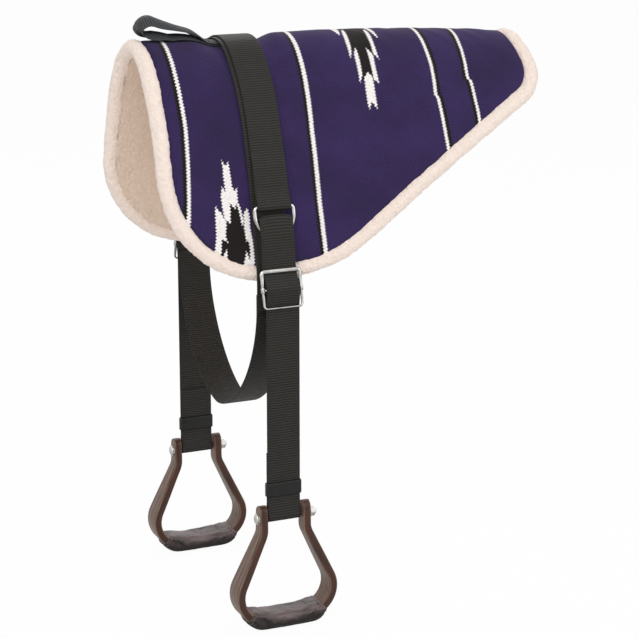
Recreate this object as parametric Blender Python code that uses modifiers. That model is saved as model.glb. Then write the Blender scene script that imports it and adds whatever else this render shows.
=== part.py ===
"""Western bareback pad with a web girth, a web handle and a pair of wooden stirrups.

Metres. X runs from the withers (front, negative) to the tail (positive), Y from the horse's left or
near side (negative) to its off side, Z up. The origin is on the underside of the fleece at the crown,
on the centre line of the stirrup web. "s" is a distance along the pad's cross-section from the crown
down a flank, "lift" a height above the fleece's underside, and "out" a distance from the centre plane.
"""
import math

import bmesh
import bpy
import numpy as np
from mathutils import Matrix, Vector

# Pad outline, laid flat: distances from the origin to the centre line of the edge roll
FRONT_REACH = 0.150
REAR_REACH = 0.447
REAR_POINT_REACH = 0.4555
REAR_POINT_S = 0.095
BOTTOM_REAR_REACH = 0.0855
FLAP_LENGTH = 0.353
FRONT_CORNER_RADIUS = 0.140
BOTTOM_CORNER_RADIUS = 0.250
REAR_CORNER_RADIUS = 0.052
REAR_EASE = 1.6
REAR_EASE_SHARES = (0.75, 0.5, 0.25)

# Pad section: the flank leaves the level crown on a curve that settles at the flank angle
FLANK_ANGLE = math.radians(79.5)
CROWN_RUN = 0.070
LINING_THICKNESS = 0.008
CORE_THICKNESS = 0.009
COVER_THICKNESS = 0.0025
LAYER_GAP = 0.0003
ROLL_RADIUS = 0.011
ROLL_GAP = 0.0008
REAR_DROP = 0.018
DROP_START = 0.150

# Webbing
WEB_WIDTH = 0.0508
WEB_THICKNESS = 0.0024
WEB_GAP = 0.0003
GIRTH_X = -0.006
FOLD_RETURN = 0.055
FOLD_TAPER = 0.022

# Girth below the flaps, measured from the edge roll's centre at the bottom of a flap
LAP_DROP = 0.0545
LAP_LENGTH = 0.026
GIRTH_DEPTH = 0.173
GIRTH_FULLNESS_SHARE = 1.7

# Handle
HANDLE_WIDTH = 0.038
HANDLE_THICKNESS = 0.0022
HANDLE_GAP = 0.0006
HANDLE_TAIL_X = 0.018
HANDLE_NOSE_X = -0.131
HANDLE_NOSE_Z = 0.0445
HANDLE_NOSE_RADIUS = 0.0155
HANDLE_TACK_X = -0.046
HANDLE_TACK_BEND = 0.012
CROWN_BRIDGE = 0.060

# Ring
RING_S = 0.262
RING_WIRE_RADIUS = 0.00275
RING_BOW_RADIUS = 0.0295
RING_BAR_TO_CENTRE = 0.0115
RING_BAR_CORNER = 0.005
RING_LEAN = math.radians(13)

# Leather path
EYE_ABOVE_CHORD = 0.0107
BUCKLE_DOWN = 0.1159
BUCKLE_OUT = 0.0025
SEWN_END_TURN = math.radians(40)
HANG_START = 0.016
TAIL_LENGTH = 0.055

# Buckle
FRAME_WIDTH = 0.0618
FRAME_HEIGHT = 0.0560
FRAME_WIRE_RADIUS = 0.0020
FRAME_CORNER = 0.0045
BAR_RADIUS = 0.0020
CURL_THICKNESS = 0.0009
CURL_LENGTH = 0.008
METAL_GAP = 0.0003

# Keeper
KEEPER_ABOVE_BOLT = 0.042
KEEPER_HEIGHT = 0.020
KEEPER_THICKNESS = 0.0018
KEEPER_GAP = 0.0004

# Stirrup, measured from the bolt's axis
BOLT_Z = -0.645
EAR_RADIUS = 0.013
EAR_DEPTH = 0.024
TREAD_DEPTH = 0.036
WOOD_THICKNESS = 0.012
NECK_GAP = 0.0022
NECK_DROP = 0.022
NECK_BEND_RADIUS = 0.030
SIDE_HALF_WIDTH = 0.0725
SIDE_DROP = 0.113
STIRRUP_CORNER_RADIUS = 0.0397
WOOD_EDGE_RADIUS = 0.0022
DEPTH_BLEND_DROP = 0.085

# Tread cover
COVER_HALF_RUN = 0.058
TREAD_PADDING = 0.007
TREAD_COVER_GAP = 0.0004
TREAD_SECTION_CORNER = 0.003

# Stirrup bolt, nut and washers
BOLT_RADIUS = 0.0040
BOLT_GAP = 0.0003
HEAD_RADIUS = 0.0076
HEAD_HEIGHT = 0.0034
WASHER_RADIUS = 0.0088
WASHER_THICKNESS = 0.0014
NUT_RADIUS = 0.0072
NUT_HEIGHT = 0.0062
BOLT_END = 0.0022

# Mesh fineness
SECTION_STEPS = 900
HALF_ROWS = 22
ROW_CROWDING_SHARE = 0.7
PAD_COLUMNS = 8
OUTLINE_STEPS = (12, 6, 5)
ROLL_PITCH = 0.018
HANDLE_COLUMNS = 4
BELT_TURN = math.radians(24)
SHARP_ANGLE = math.radians(35)
CUTTER_OVERRUN = 0.004
WELD_DISTANCE = 0.00001

PAD_THICKNESS = LINING_THICKNESS + CORE_THICKNESS + COVER_THICKNESS + 2 * LAYER_GAP
KEEPER_Z = BOLT_Z + KEEPER_ABOVE_BOLT
SIDES = {"near": -1, "off": 1}


def clear_scene():
    for item in list(bpy.data.objects):
        bpy.data.objects.remove(item, do_unlink=True)


def collection(name):
    group = bpy.data.collections.new(name)
    bpy.context.scene.collection.children.link(group)
    return group


def material(name, colour, roughness, metallic=0.0):
    found = bpy.data.materials.get(name)
    if found:
        return found
    made = bpy.data.materials.new(name)
    made.use_nodes = True
    shader = made.node_tree.nodes["Principled BSDF"]
    shader.inputs["Base Color"].default_value = (*colour, 1.0)
    shader.inputs["Roughness"].default_value = roughness
    shader.inputs["Metallic"].default_value = metallic
    made.diffuse_color = (*colour, 1.0)
    return made


def fleece():
    return material("fleece", (0.80, 0.71, 0.62), 0.95)


def felt():
    return material("felt", (0.35, 0.34, 0.33), 0.95)


def woven():
    return material("woven_wool", (0.045, 0.025, 0.105), 0.9)


def webbing():
    return material("webbing", (0.027, 0.026, 0.024), 0.75)


def chrome():
    return material("chrome", (0.80, 0.80, 0.78), 0.18, 1.0)


def wood():
    return material("walnut_wood", (0.105, 0.042, 0.028), 0.45)


def tread_leather():
    return material("tread_leather", (0.150, 0.120, 0.125), 0.6)


# Small geometry helpers

def arc(centre, radius, start, end, steps):
    """Points on an arc in a plane, both ends included."""
    angles = np.linspace(start, end, steps + 1)
    return [(centre[0] + radius * math.cos(a), centre[1] + radius * math.sin(a)) for a in angles]


def smooth(points, steps):
    """A curve through the points, with the given number of steps between two of them."""
    padded = [points[0]] + list(points) + [points[-1]]
    curve = []
    for a, b, c, d in zip(padded, padded[1:], padded[2:], padded[3:]):
        a, b, c, d = (np.array(p, dtype=float) for p in (a, b, c, d))
        for t in np.arange(steps) / steps:
            curve.append(tuple(0.5 * (2 * b + (c - a) * t + (2 * a - 5 * b + 4 * c - d) * t ** 2
                                      + (3 * b - a - 3 * c + d) * t ** 3)))
    return curve + [tuple(points[-1])]


def belt(discs, start):
    """A line pulled tight round discs (centre, radius), from an angle on the first disc to the last one.

    A disc with a negative radius is on the line's right, and a radius of zero is a point it passes.
    """
    spokes = [start]
    for (centre, radius), (ahead, ahead_radius) in zip(discs, discs[1:]):
        reach = Vector(ahead) - Vector(centre)
        bearing = math.atan2(reach.y, reach.x)
        spokes.append(bearing - math.acos((radius - ahead_radius) / reach.length))
    line = []
    for (centre, radius), arrive, leave in zip(discs, spokes, spokes[1:] + spokes[-1:]):
        turn = (leave - arrive + math.pi) % (2 * math.pi) - math.pi
        if turn * radius < 0 and abs(turn) > math.pi / 2:
            turn += math.copysign(2 * math.pi, radius)
        steps = max(1, math.ceil(abs(turn) / BELT_TURN))
        line += arc(centre, radius, arrive, arrive + turn, steps) if radius else [tuple(centre)]
    return line


def fillet(corners, radii, counts):
    """An open line through the corners with each inner corner rounded to its radius."""
    line = [tuple(corners[0])]
    for before, corner, after, radius, steps in zip(corners, corners[1:], corners[2:], radii, counts):
        corner = Vector(corner)
        back = (Vector(before) - corner).normalized()
        ahead = (Vector(after) - corner).normalized()
        half = back.angle(ahead) / 2
        reach = radius / math.tan(half)
        centre = corner + (back + ahead).normalized() * (radius / math.sin(half))
        first = corner + back * reach - centre
        last = corner + ahead * reach - centre
        turn = first.angle_signed(last)
        for i in range(steps + 1):
            spoke = Matrix.Rotation(-turn * i / steps, 2) @ first
            line.append(tuple(centre + spoke))
    return line + [tuple(corners[-1])]


# Object helpers

def add_object(name, data, group, finish):
    made = bpy.data.objects.new(name, data)
    data.materials.append(finish)
    group.objects.link(made)
    return made


def grid_mesh(name, columns, rows, place, closed=False):
    """A grid of faces whose vertices go to place(column, row), welded on itself when closed."""
    net = bmesh.new()
    bmesh.ops.create_grid(net, x_segments=columns, y_segments=rows, size=0.5)
    for vert in net.verts:
        column = round((vert.co.x + 0.5) * columns)
        row = round((vert.co.y + 0.5) * rows)
        vert.co = place(column, row)
    if closed:
        bmesh.ops.remove_doubles(net, verts=net.verts, dist=WELD_DISTANCE)
    mesh = bpy.data.meshes.new(name)
    net.to_mesh(mesh)
    net.free()
    mesh.shade_smooth()
    mesh.set_sharp_from_angle(angle=SHARP_ANGLE)
    return mesh


def solidify(thing, thickness, offset, even=True):
    shell = thing.modifiers.new("thickness", "SOLIDIFY")
    shell.thickness = thickness
    shell.offset = offset
    shell.use_even_offset = even
    return shell


def ribbon(name, path, width, thickness, group, finish):
    """A web whose centre line is the path, 3-D points, and whose width runs along the given vector."""
    half = Vector(width) / 2

    def place(column, row):
        return Vector(path[row]) + half * (2 * column - 1)

    made = add_object(name, grid_mesh(name, 1, len(path) - 1, place), group, finish)
    solidify(made, thickness, 0)
    return made


def wire(name, points, radius, group, finish, cyclic=True):
    """A round wire along 3-D points."""
    curve = bpy.data.curves.new(name, "CURVE")
    curve.dimensions = "3D"
    curve.bevel_depth = radius
    curve.bevel_resolution = 2
    curve.use_fill_caps = not cyclic
    line = curve.splines.new("POLY")
    line.points.add(len(points) - 1)
    for knot, place in zip(line.points, points):
        knot.co = (*place, 1.0)
    line.use_cyclic_u = cyclic
    line.use_smooth = True
    return add_object(name, curve, group, finish)


def turned(name, profile, steps, group, finish):
    """A turned piece about the X axis from (radius, along) pairs that run down its outer side."""
    net = bmesh.new()
    verts = [net.verts.new((radius, 0, along)) for radius, along in profile]
    for a, b in zip(verts, verts[1:]):
        net.edges.new((a, b))
    mesh = bpy.data.meshes.new(name)
    net.to_mesh(mesh)
    net.free()
    made = add_object(name, mesh, group, finish)
    screw = made.modifiers.new("turn", "SCREW")
    screw.steps = steps
    screw.render_steps = steps
    screw.use_merge_vertices = True
    screw.use_smooth_shade = True
    screw.merge_threshold = WELD_DISTANCE
    made.rotation_euler = (0, math.radians(90), 0)
    return made


def cylinder(name, radius, length, sides, group, finish):
    """A plain cylinder along Z about its own origin."""
    net = bmesh.new()
    bmesh.ops.create_cone(net, cap_ends=True, segments=sides, radius1=radius, radius2=radius, depth=length)
    mesh = bpy.data.meshes.new(name)
    net.to_mesh(mesh)
    net.free()
    mesh.shade_smooth()
    mesh.set_sharp_from_angle(angle=SHARP_ANGLE)
    return add_object(name, mesh, group, finish)


def cut(thing, cutter, operation="DIFFERENCE"):
    step = thing.modifiers.new(cutter.name, "BOOLEAN")
    step.operation = operation
    step.solver = "EXACT"
    step.object = cutter
    cutter.hide_render = True
    cutter.display_type = "WIRE"


def pivot(name, place, parent, group):
    """An empty on a joint's axis. Its place is given in world coordinates."""
    empty = bpy.data.objects.new(name, None)
    group.objects.link(empty)
    empty["world"] = tuple(place)
    empty.location = Vector(place) - (Vector(parent["world"]) if parent else Vector())
    empty.parent = parent
    empty.empty_display_size = RING_BOW_RADIUS
    return empty


def hang(thing, empty):
    """Puts a piece made in world coordinates under its pivot, with its own origin on the pivot."""
    shift = Matrix.Translation(-Vector(empty["world"]))
    if thing.location.length > 0 or thing.type == "EMPTY":
        thing.location = shift @ thing.location
    else:
        thing.data.transform(shift @ thing.matrix_basis)
        thing.matrix_basis = Matrix()
    thing.parent = empty


# Pad outline and section

def inset_outline(inset):
    """Half the pad's outline, (x, s) points from the crown at the front to the crown at the rear."""
    corners = [
        Vector((-FRONT_REACH, 0)),
        Vector((-FRONT_REACH, FLAP_LENGTH)),
        Vector((BOTTOM_REAR_REACH, FLAP_LENGTH)),
        Vector((REAR_POINT_REACH, REAR_POINT_S)),
        Vector((REAR_REACH, 0)),
    ]
    sides = [(a, b, (b - a).normalized()) for a, b in zip(corners, corners[1:])]
    moved = [(a + Vector((d.y, -d.x)) * inset, d) for a, b, d in sides]

    def meet(first, second):
        (p, d), (q, e) = first, second
        along = (q - p).cross(e) / d.cross(e)
        return p + d * along

    start, direction = moved[0]
    ends = [start + direction * (-start.y / direction.y)]
    ends += [meet(a, b) for a, b in zip(moved, moved[1:])]
    start, direction = moved[-1]
    ends.append(start + direction * (-start.y / direction.y))
    radii = [FRONT_CORNER_RADIUS - inset, BOTTOM_CORNER_RADIUS - inset, REAR_CORNER_RADIUS - inset]
    line = fillet(ends, radii, OUTLINE_STEPS)
    (far, run), (near, _) = line[-2:]
    eased = [(near + (far - near) * share ** REAR_EASE, run * share) for share in REAR_EASE_SHARES]
    return line[:-1] + eased + line[-1:]


def flank_angle(s):
    return FLANK_ANGLE * (1 - np.exp(-np.abs(s) / CROWN_RUN))


ARC = np.linspace(0, FLAP_LENGTH + ROLL_RADIUS * 2, SECTION_STEPS)
STEP = ARC[1] - ARC[0]
OUTS = np.concatenate([[0], np.cumsum(np.cos(flank_angle(ARC[1:] - STEP / 2)) * STEP)])
DROPS = np.concatenate([[0], np.cumsum(np.sin(flank_angle(ARC[1:] - STEP / 2)) * STEP)])


def section(s, lift):
    """(y, z) at a distance s down the flank, negative to the near side, and a lift over the underside."""
    angle = float(flank_angle(s))
    rise = lift - PAD_THICKNESS / 2
    out = float(np.interp(abs(s), ARC, OUTS)) + rise * math.sin(angle)
    z = PAD_THICKNESS / 2 - float(np.interp(abs(s), ARC, DROPS)) + rise * math.cos(angle)
    return math.copysign(out, s) if s else 0.0, z


def drop_share(x):
    return max(0.0, x - DROP_START) / (REAR_REACH - DROP_START)


def pad_point(x, s, lift):
    """A point of the pad, which sinks a little toward its rear."""
    y, z = section(s, lift)
    slope = 2 * REAR_DROP * drop_share(x) / (REAR_REACH - DROP_START)
    shift = slope * (lift - PAD_THICKNESS / 2) * math.cos(float(flank_angle(s)))
    return Vector((x + shift, y, z - REAR_DROP * drop_share(x) ** 2))


def half_rows(limit):
    """Distances from the crown to the limit, close together at the crown and at the flap's bottom."""
    share = np.arange(HALF_ROWS + 1) / HALF_ROWS
    crowd = share - ROW_CROWDING_SHARE * np.sin(2 * math.pi * share) / (2 * math.pi)
    rows = [float(s) for s in FLAP_LENGTH * crowd if s < limit - WEB_THICKNESS / 2]
    return rows + [limit]


def pad_layer(name, base, thickness, group, finish):
    """One layer of the pad, its edge set back from the round edge roll."""
    nearest = min(abs(base - PAD_THICKNESS / 2), abs(base + thickness - PAD_THICKNESS / 2))
    if base < PAD_THICKNESS / 2 < base + thickness:
        nearest = 0.0
    inset = math.sqrt(ROLL_RADIUS ** 2 - nearest ** 2) + ROLL_GAP
    outline = np.array(inset_outline(inset))
    split = OUTLINE_STEPS[0] + 2
    front = outline[:split]
    rear = outline[split:][::-1]
    rows = half_rows(float(front[-1, 1]))
    rows = [-s for s in rows[:0:-1]] + rows

    def place(column, row):
        s = rows[row]
        first = float(np.interp(abs(s), front[:, 1], front[:, 0]))
        last = float(np.interp(abs(s), rear[:, 1], rear[:, 0]))
        return pad_point(first + (last - first) * column / PAD_COLUMNS, s, base)

    made = add_object(name, grid_mesh(name, PAD_COLUMNS, len(rows) - 1, place), group, finish)
    solidify(made, thickness, 1, even=False)
    return made


def edge_roll(group):
    """The fleece roll all round the outline."""
    half = inset_outline(0)
    loop = half + [(x, -s) for x, s in half[-2:0:-1]]
    points = []
    for (x, s), (next_x, next_s) in zip(loop, loop[1:] + loop[:1]):
        count = max(1, round(math.hypot(next_x - x, next_s - s) / ROLL_PITCH))
        for share in np.arange(count) / count:
            points.append(pad_point(x + (next_x - x) * share, s + (next_s - s) * share, PAD_THICKNESS / 2))
    return wire("fleece_edge_roll", points, ROLL_RADIUS, group, fleece())


# Webs on the pad

GIRTH_LIFT = PAD_THICKNESS + WEB_GAP + WEB_THICKNESS / 2
WEB_PITCH = WEB_THICKNESS + WEB_GAP
SUPPORT_LIFT = GIRTH_LIFT + WEB_PITCH
RING_LOOP = RING_WIRE_RADIUS + WEB_GAP + WEB_THICKNESS / 2


def bridge(s):
    """How far the webs stand off the crown, where they pass over the handle's two layers."""
    flat = HANDLE_WIDTH / 2 + WEB_THICKNESS
    fade = min(1.0, max(0.0, (CROWN_BRIDGE - abs(s)) / (CROWN_BRIDGE - flat)))
    return (2 * HANDLE_THICKNESS + 3 * HANDLE_GAP - WEB_GAP) * fade


def mirrored(half):
    """A path of (out, z) pairs from the crown outward becomes one from the near end to the off end."""
    near = [(-out, z) for out, z in half[:0:-1]]
    return near + [tuple(p) for p in half]


def cross_path(pairs, x):
    return [Vector((x, out, z)) for out, z in pairs]


def girth_edge():
    """Distance out of the girth web where it hangs straight down from the roll's outer side."""
    return section(FLAP_LENGTH, PAD_THICKNESS / 2)[0] + ROLL_RADIUS + WEB_GAP + WEB_THICKNESS / 2


def lap_bottom():
    return section(FLAP_LENGTH, PAD_THICKNESS / 2)[1] - LAP_DROP


def girth_web(group):
    stop = FLAP_LENGTH - 3 * ROLL_RADIUS
    half = [section(s, GIRTH_LIFT + bridge(s)) for s in half_rows(stop)]
    around = ROLL_RADIUS + WEB_GAP + WEB_THICKNESS / 2
    half += arc(section(FLAP_LENGTH, PAD_THICKNESS / 2), around, math.pi / 2 - FLANK_ANGLE, 0, 3)
    half.append((girth_edge(), lap_bottom()))
    return ribbon("girth_web", cross_path(mirrored(half), GIRTH_X), (WEB_WIDTH, 0, 0), WEB_THICKNESS,
                  group, webbing())


def girth_loop(group):
    """The loose U below the flaps, lapped inside the ends of the girth web."""
    half_width = girth_edge() - WEB_PITCH
    half = []
    for share in np.sin(np.linspace(1, 0, 15) * math.pi / 2):
        out = half_width * (1 - share ** GIRTH_FULLNESS_SHARE) ** (1 / GIRTH_FULLNESS_SHARE)
        half.append((out, lap_bottom() - GIRTH_DEPTH * share))
    half.append((half_width, lap_bottom() + LAP_LENGTH))
    path = cross_path(mirrored(half), GIRTH_X)
    return ribbon("girth_loop", path, (WEB_WIDTH, 0, 0), WEB_THICKNESS, group, webbing())


def ring_bar():
    """Centre (out, z) of the straight bar of a ring, in the fold of the support web."""
    return section(RING_S, SUPPORT_LIFT + RING_LOOP)


def stirrup_support_web(group):
    """The upper web. Each end passes outside its ring's bar and folds back under itself."""
    fold_start = RING_S - FOLD_RETURN
    half = []
    for s in half_rows(RING_S - FOLD_TAPER):
        step = min(1.0, max(0.0, (s - fold_start + FOLD_TAPER) / FOLD_TAPER))
        half.append(section(s, SUPPORT_LIFT + bridge(s) + WEB_PITCH * step))
    bar_out, bar_z = ring_bar()
    normal = math.pi / 2 - float(flank_angle(RING_S))
    half += arc((bar_out, bar_z), RING_LOOP, normal, normal - math.pi, 9)
    back = [s for s in half_rows(RING_S - FOLD_TAPER / 2) if s > fold_start]
    half += [section(s, SUPPORT_LIFT) for s in back[::-1]]
    path = cross_path(mirrored(half), 0)
    return ribbon("stirrup_support_web", path, (WEB_WIDTH, 0, 0), WEB_THICKNESS, group, webbing())


def front_handle(group):
    """A teardrop of web that stands up at the withers, both ends under the two webs."""
    low = PAD_THICKNESS + HANDLE_GAP + HANDLE_THICKNESS / 2
    high = low + HANDLE_THICKNESS + HANDLE_GAP
    nose = (HANDLE_NOSE_X, HANDLE_NOSE_Z)
    radius = HANDLE_NOSE_RADIUS
    tack = (HANDLE_TACK_X - HANDLE_TACK_BEND, high + HANDLE_TACK_BEND / 4)
    rise = math.atan2(nose[1] + radius - tack[1], tack[0] - nose[0])
    foot = (nose[0] + radius * 2, low)
    path = [(HANDLE_TAIL_X, low), (HANDLE_TACK_X, low), foot]
    path += arc(nose, radius, -math.pi * 0.42, -math.pi * 2 + math.pi / 2 - rise, 12)
    path += smooth([path[-1], tack, (HANDLE_TACK_X + HANDLE_TACK_BEND, high), (HANDLE_TAIL_X, high)], 5)[1:]

    def place(column, row):
        x, z = path[row]
        out, level = section((column / HANDLE_COLUMNS - 0.5) * HANDLE_WIDTH, PAD_THICKNESS)
        bend = min(1.0, max(0.0, (x - HANDLE_NOSE_X) / (HANDLE_TACK_X - HANDLE_NOSE_X)))
        return Vector((x, out, z - bend * (PAD_THICKNESS - level)))

    mesh = grid_mesh("front_handle", HANDLE_COLUMNS, len(path) - 1, place)
    made = add_object("front_handle", mesh, group, webbing())
    solidify(made, HANDLE_THICKNESS, 0)
    return made


# Pieces that hang at each side

def leaning(down, out):
    """(out, z) of a point in the ring's leaning frame: down from the bar, and out from the ring's plane."""
    bar_out, bar_z = ring_bar()
    lean_out, lean_down = math.sin(RING_LEAN), math.cos(RING_LEAN)
    return bar_out + down * lean_out + out * lean_down, bar_z - down * lean_down + out * lean_out


def side_point(side, x, pair):
    return Vector((x, side * pair[0], pair[1]))


def ring_centre():
    return leaning(RING_BAR_TO_CENTRE, 0)


def ring(name, side, group):
    """A dee: a straight bar, two short sides and a half-round bow."""
    corner = RING_BAR_CORNER
    outline = arc((-RING_BOW_RADIUS + corner, corner), corner, math.pi, math.pi * 1.5, 4)
    outline += arc((RING_BOW_RADIUS - corner, corner), corner, math.pi * 1.5, math.pi * 2, 4)
    outline += arc((0, RING_BAR_TO_CENTRE), RING_BOW_RADIUS, 0, math.pi, 16)
    points = [side_point(side, x, leaning(down, 0)) for x, down in outline]
    return wire(name, points, RING_WIRE_RADIUS, group, chrome())


def bar_clearance():
    return FRAME_WIRE_RADIUS + WEB_GAP + WEB_THICKNESS / 2


def hook_radius():
    return BAR_RADIUS + METAL_GAP + WEB_THICKNESS / 2


def bolt_loop():
    return BOLT_RADIUS + WEB_GAP + WEB_THICKNESS / 2


def low_bar_place():
    return leaning(BUCKLE_DOWN + FRAME_HEIGHT / 2 - FRAME_WIRE_RADIUS, BUCKLE_OUT)


def strap_plane():
    """Distance out of the plane midway between the two layers that hang straight down."""
    return low_bar_place()[0] - bar_clearance() - WEB_PITCH / 2


def leather_path():
    """(out, z) pairs along the whole strap, from its sewn end on the buckle bar to its tail."""
    hook = hook_radius()
    clear = bar_clearance()
    bar = leaning(BUCKLE_DOWN, BUCKLE_OUT)
    top_bar = leaning(BUCKLE_DOWN - FRAME_HEIGHT / 2 + FRAME_WIRE_RADIUS, BUCKLE_OUT)
    low_bar = low_bar_place()
    chord = RING_BAR_TO_CENTRE + math.sqrt(RING_BOW_RADIUS ** 2 - (WEB_WIDTH / 2) ** 2)
    eye = leaning(chord - EYE_ABOVE_CHORD + RING_LOOP, 0)
    bow = leaning(RING_BAR_TO_CENTRE + RING_BOW_RADIUS, 0)
    middle = strap_plane()
    front = middle + WEB_PITCH / 2
    back = middle - WEB_PITCH / 2
    grip_z = KEEPER_Z - KEEPER_HEIGHT

    discs = [(bar, -hook), (top_bar, -clear - WEB_PITCH), (bow, -RING_LOOP), (eye, -RING_LOOP),
             (bow, -RING_LOOP), (top_bar, clear), (bar, -hook - WEB_PITCH), (low_bar, clear),
             ((front, low_bar[1] - HANG_START), 0), ((front, grip_z), 0),
             ((middle, BOLT_Z), -bolt_loop()),
             ((back, grip_z), 0), ((back, KEEPER_Z + TAIL_LENGTH), 0)]
    return belt(discs, SEWN_END_TURN + math.pi)


def leather(name, side, group):
    points = [side_point(side, 0, pair) for pair in leather_path()]
    return ribbon(name, points, (WEB_WIDTH, 0, 0), WEB_THICKNESS, group, webbing())


def buckle_frame(name, side, group):
    half_width = FRAME_WIDTH / 2 - FRAME_WIRE_RADIUS
    half_height = FRAME_HEIGHT / 2 - FRAME_WIRE_RADIUS
    outline = []
    for quarter, (sx, sy) in enumerate([(1, 1), (-1, 1), (-1, -1), (1, -1)]):
        centre = (sx * (half_width - FRAME_CORNER), sy * (half_height - FRAME_CORNER))
        outline += arc(centre, FRAME_CORNER, quarter * math.pi / 2, (quarter + 1) * math.pi / 2, 5)
    points = [side_point(side, x, leaning(BUCKLE_DOWN + down, BUCKLE_OUT)) for x, down in outline]
    return wire(name, points, FRAME_WIRE_RADIUS, group, chrome())


def buckle_bar(name, side, group, cutters):
    """The centre bar, with a curl round each side wire of the frame."""
    reach = FRAME_WIDTH / 2 - FRAME_WIRE_RADIUS
    inner = FRAME_WIRE_RADIUS + METAL_GAP
    outer = inner + CURL_THICKNESS
    place = side_point(side, 0, leaning(BUCKLE_DOWN, BUCKLE_OUT))
    bar = cylinder(name, BAR_RADIUS, 2 * (reach - inner - CURL_THICKNESS / 2), 10, group, chrome())
    bar.rotation_euler = (0, math.radians(90), 0)
    bar.location = place
    pieces = [bar]
    for end in (-1, 1):
        curl = turned(f"{name}_curl_{end}", [(inner, CURL_LENGTH / 2), (outer, CURL_LENGTH / 2),
                                             (outer, -CURL_LENGTH / 2), (inner, -CURL_LENGTH / 2),
                                             (inner, CURL_LENGTH / 2)], 12, cutters, chrome())
        curl.rotation_euler = (side * RING_LEAN, 0, 0)
        curl.location = place + Vector((end * reach, 0, 0))
        cut(bar, curl, "UNION")
        pieces.append(curl)
    return pieces


def keeper(name, side, group):
    """A closed band round both layers of the strap."""
    half_x = WEB_WIDTH / 2 + KEEPER_GAP + KEEPER_THICKNESS / 2
    half_y = WEB_PITCH / 2 + WEB_THICKNESS / 2 + KEEPER_GAP + KEEPER_THICKNESS / 2
    corner = KEEPER_THICKNESS
    loop = []
    for quarter, (sx, sy) in enumerate([(1, 1), (-1, 1), (-1, -1), (1, -1)]):
        centre = (sx * (half_x - corner), sy * (half_y - corner))
        loop += arc(centre, corner, quarter * math.pi / 2, (quarter + 1) * math.pi / 2, 3)
    loop.append(loop[0])
    middle = side * strap_plane()

    def place(column, row):
        x, y = loop[row]
        return Vector((x, middle + y, KEEPER_Z + (column - 0.5) * KEEPER_HEIGHT))

    made = add_object(name, grid_mesh(name, 1, len(loop) - 1, place, closed=True), group, webbing())
    solidify(made, KEEPER_THICKNESS, 0)
    return made


# Stirrup: half of the bent wood's centre line, (x, down) from the bolt's axis

def neck_half_width():
    return WEB_WIDTH / 2 + NECK_GAP + WOOD_THICKNESS / 2


def corner_centre():
    return SIDE_HALF_WIDTH - STIRRUP_CORNER_RADIUS, SIDE_DROP


def covered_corner():
    """The lower part of a corner's arc, as far as the tread cover reaches."""
    turn = math.acos((COVER_HALF_RUN - corner_centre()[0]) / STIRRUP_CORNER_RADIUS)
    return arc(corner_centre(), STIRRUP_CORNER_RADIUS, turn, math.pi / 2, 3)


def wood_line():
    """From the top of an ear, down the side, round the corner and in to the middle of the tread."""
    neck = (neck_half_width(), NECK_DROP)
    centre = corner_centre()
    away = math.hypot(neck[0] - centre[0], neck[1] - centre[1])
    lean = math.asin(STIRRUP_CORNER_RADIUS / away) - math.atan2(neck[0] - centre[0], SIDE_DROP - NECK_DROP)
    ear = [(neck[0], -EAR_RADIUS * math.cos(turn)) for turn in np.linspace(0, math.pi / 2, 5)[1:]]
    bend = fillet([ear[-1], neck, (neck[0] + math.sin(lean), neck[1] + math.cos(lean))],
                  [NECK_BEND_RADIUS], [3])[1:-1]
    low = covered_corner()
    turn = math.acos((low[0][0] - centre[0]) / STIRRUP_CORNER_RADIUS)
    corner = arc(centre, STIRRUP_CORNER_RADIUS, -lean, turn, 5)[:-1] + low
    halfway = ((bend[-1][0] + corner[0][0]) / 2, (bend[-1][1] + corner[0][1]) / 2)
    return ear + bend + [halfway] + corner + [(low[-1][0] / 2, low[-1][1]), (0, low[-1][1])]


def wood_depth(down):
    """Depth of the wood along Y, rounded over the ear and growing toward the tread."""
    if down < 0:
        return EAR_DEPTH * math.sqrt(max(0.0, 1 - (down / EAR_RADIUS) ** 2))
    share = min(1.0, down / DEPTH_BLEND_DROP)
    return EAR_DEPTH + (TREAD_DEPTH - EAR_DEPTH) * share ** 2 * (3 - 2 * share)


def stirrup_frame(name, side, group, cutters):
    line = wood_line()
    columns = 2
    middle = side * strap_plane()

    def place(column, row):
        x, down = line[row]
        depth = wood_depth(down)
        return Vector((x, middle + (column / columns - 0.5) * depth, BOLT_Z - down))

    made = add_object(name, grid_mesh(name, columns, len(line) - 1, place), group, wood())
    mirror = made.modifiers.new("other half", "MIRROR")
    mirror.use_axis = (True, False, False)
    mirror.use_clip = True
    mirror.merge_threshold = WELD_DISTANCE
    solidify(made, WOOD_THICKNESS, 0)
    edge = made.modifiers.new("rounded edges", "BEVEL")
    edge.width = WOOD_EDGE_RADIUS
    edge.segments = 1
    edge.limit_method = "ANGLE"
    edge.angle_limit = math.radians(50)
    hole = cylinder(f"{name}_bolt_hole", BOLT_RADIUS + BOLT_GAP,
                    2 * (neck_half_width() + WOOD_THICKNESS), 16, cutters, wood())
    hole.rotation_euler = (0, math.radians(90), 0)
    hole.location = (0, middle, BOLT_Z)
    cut(made, hole)
    return made, hole


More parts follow.
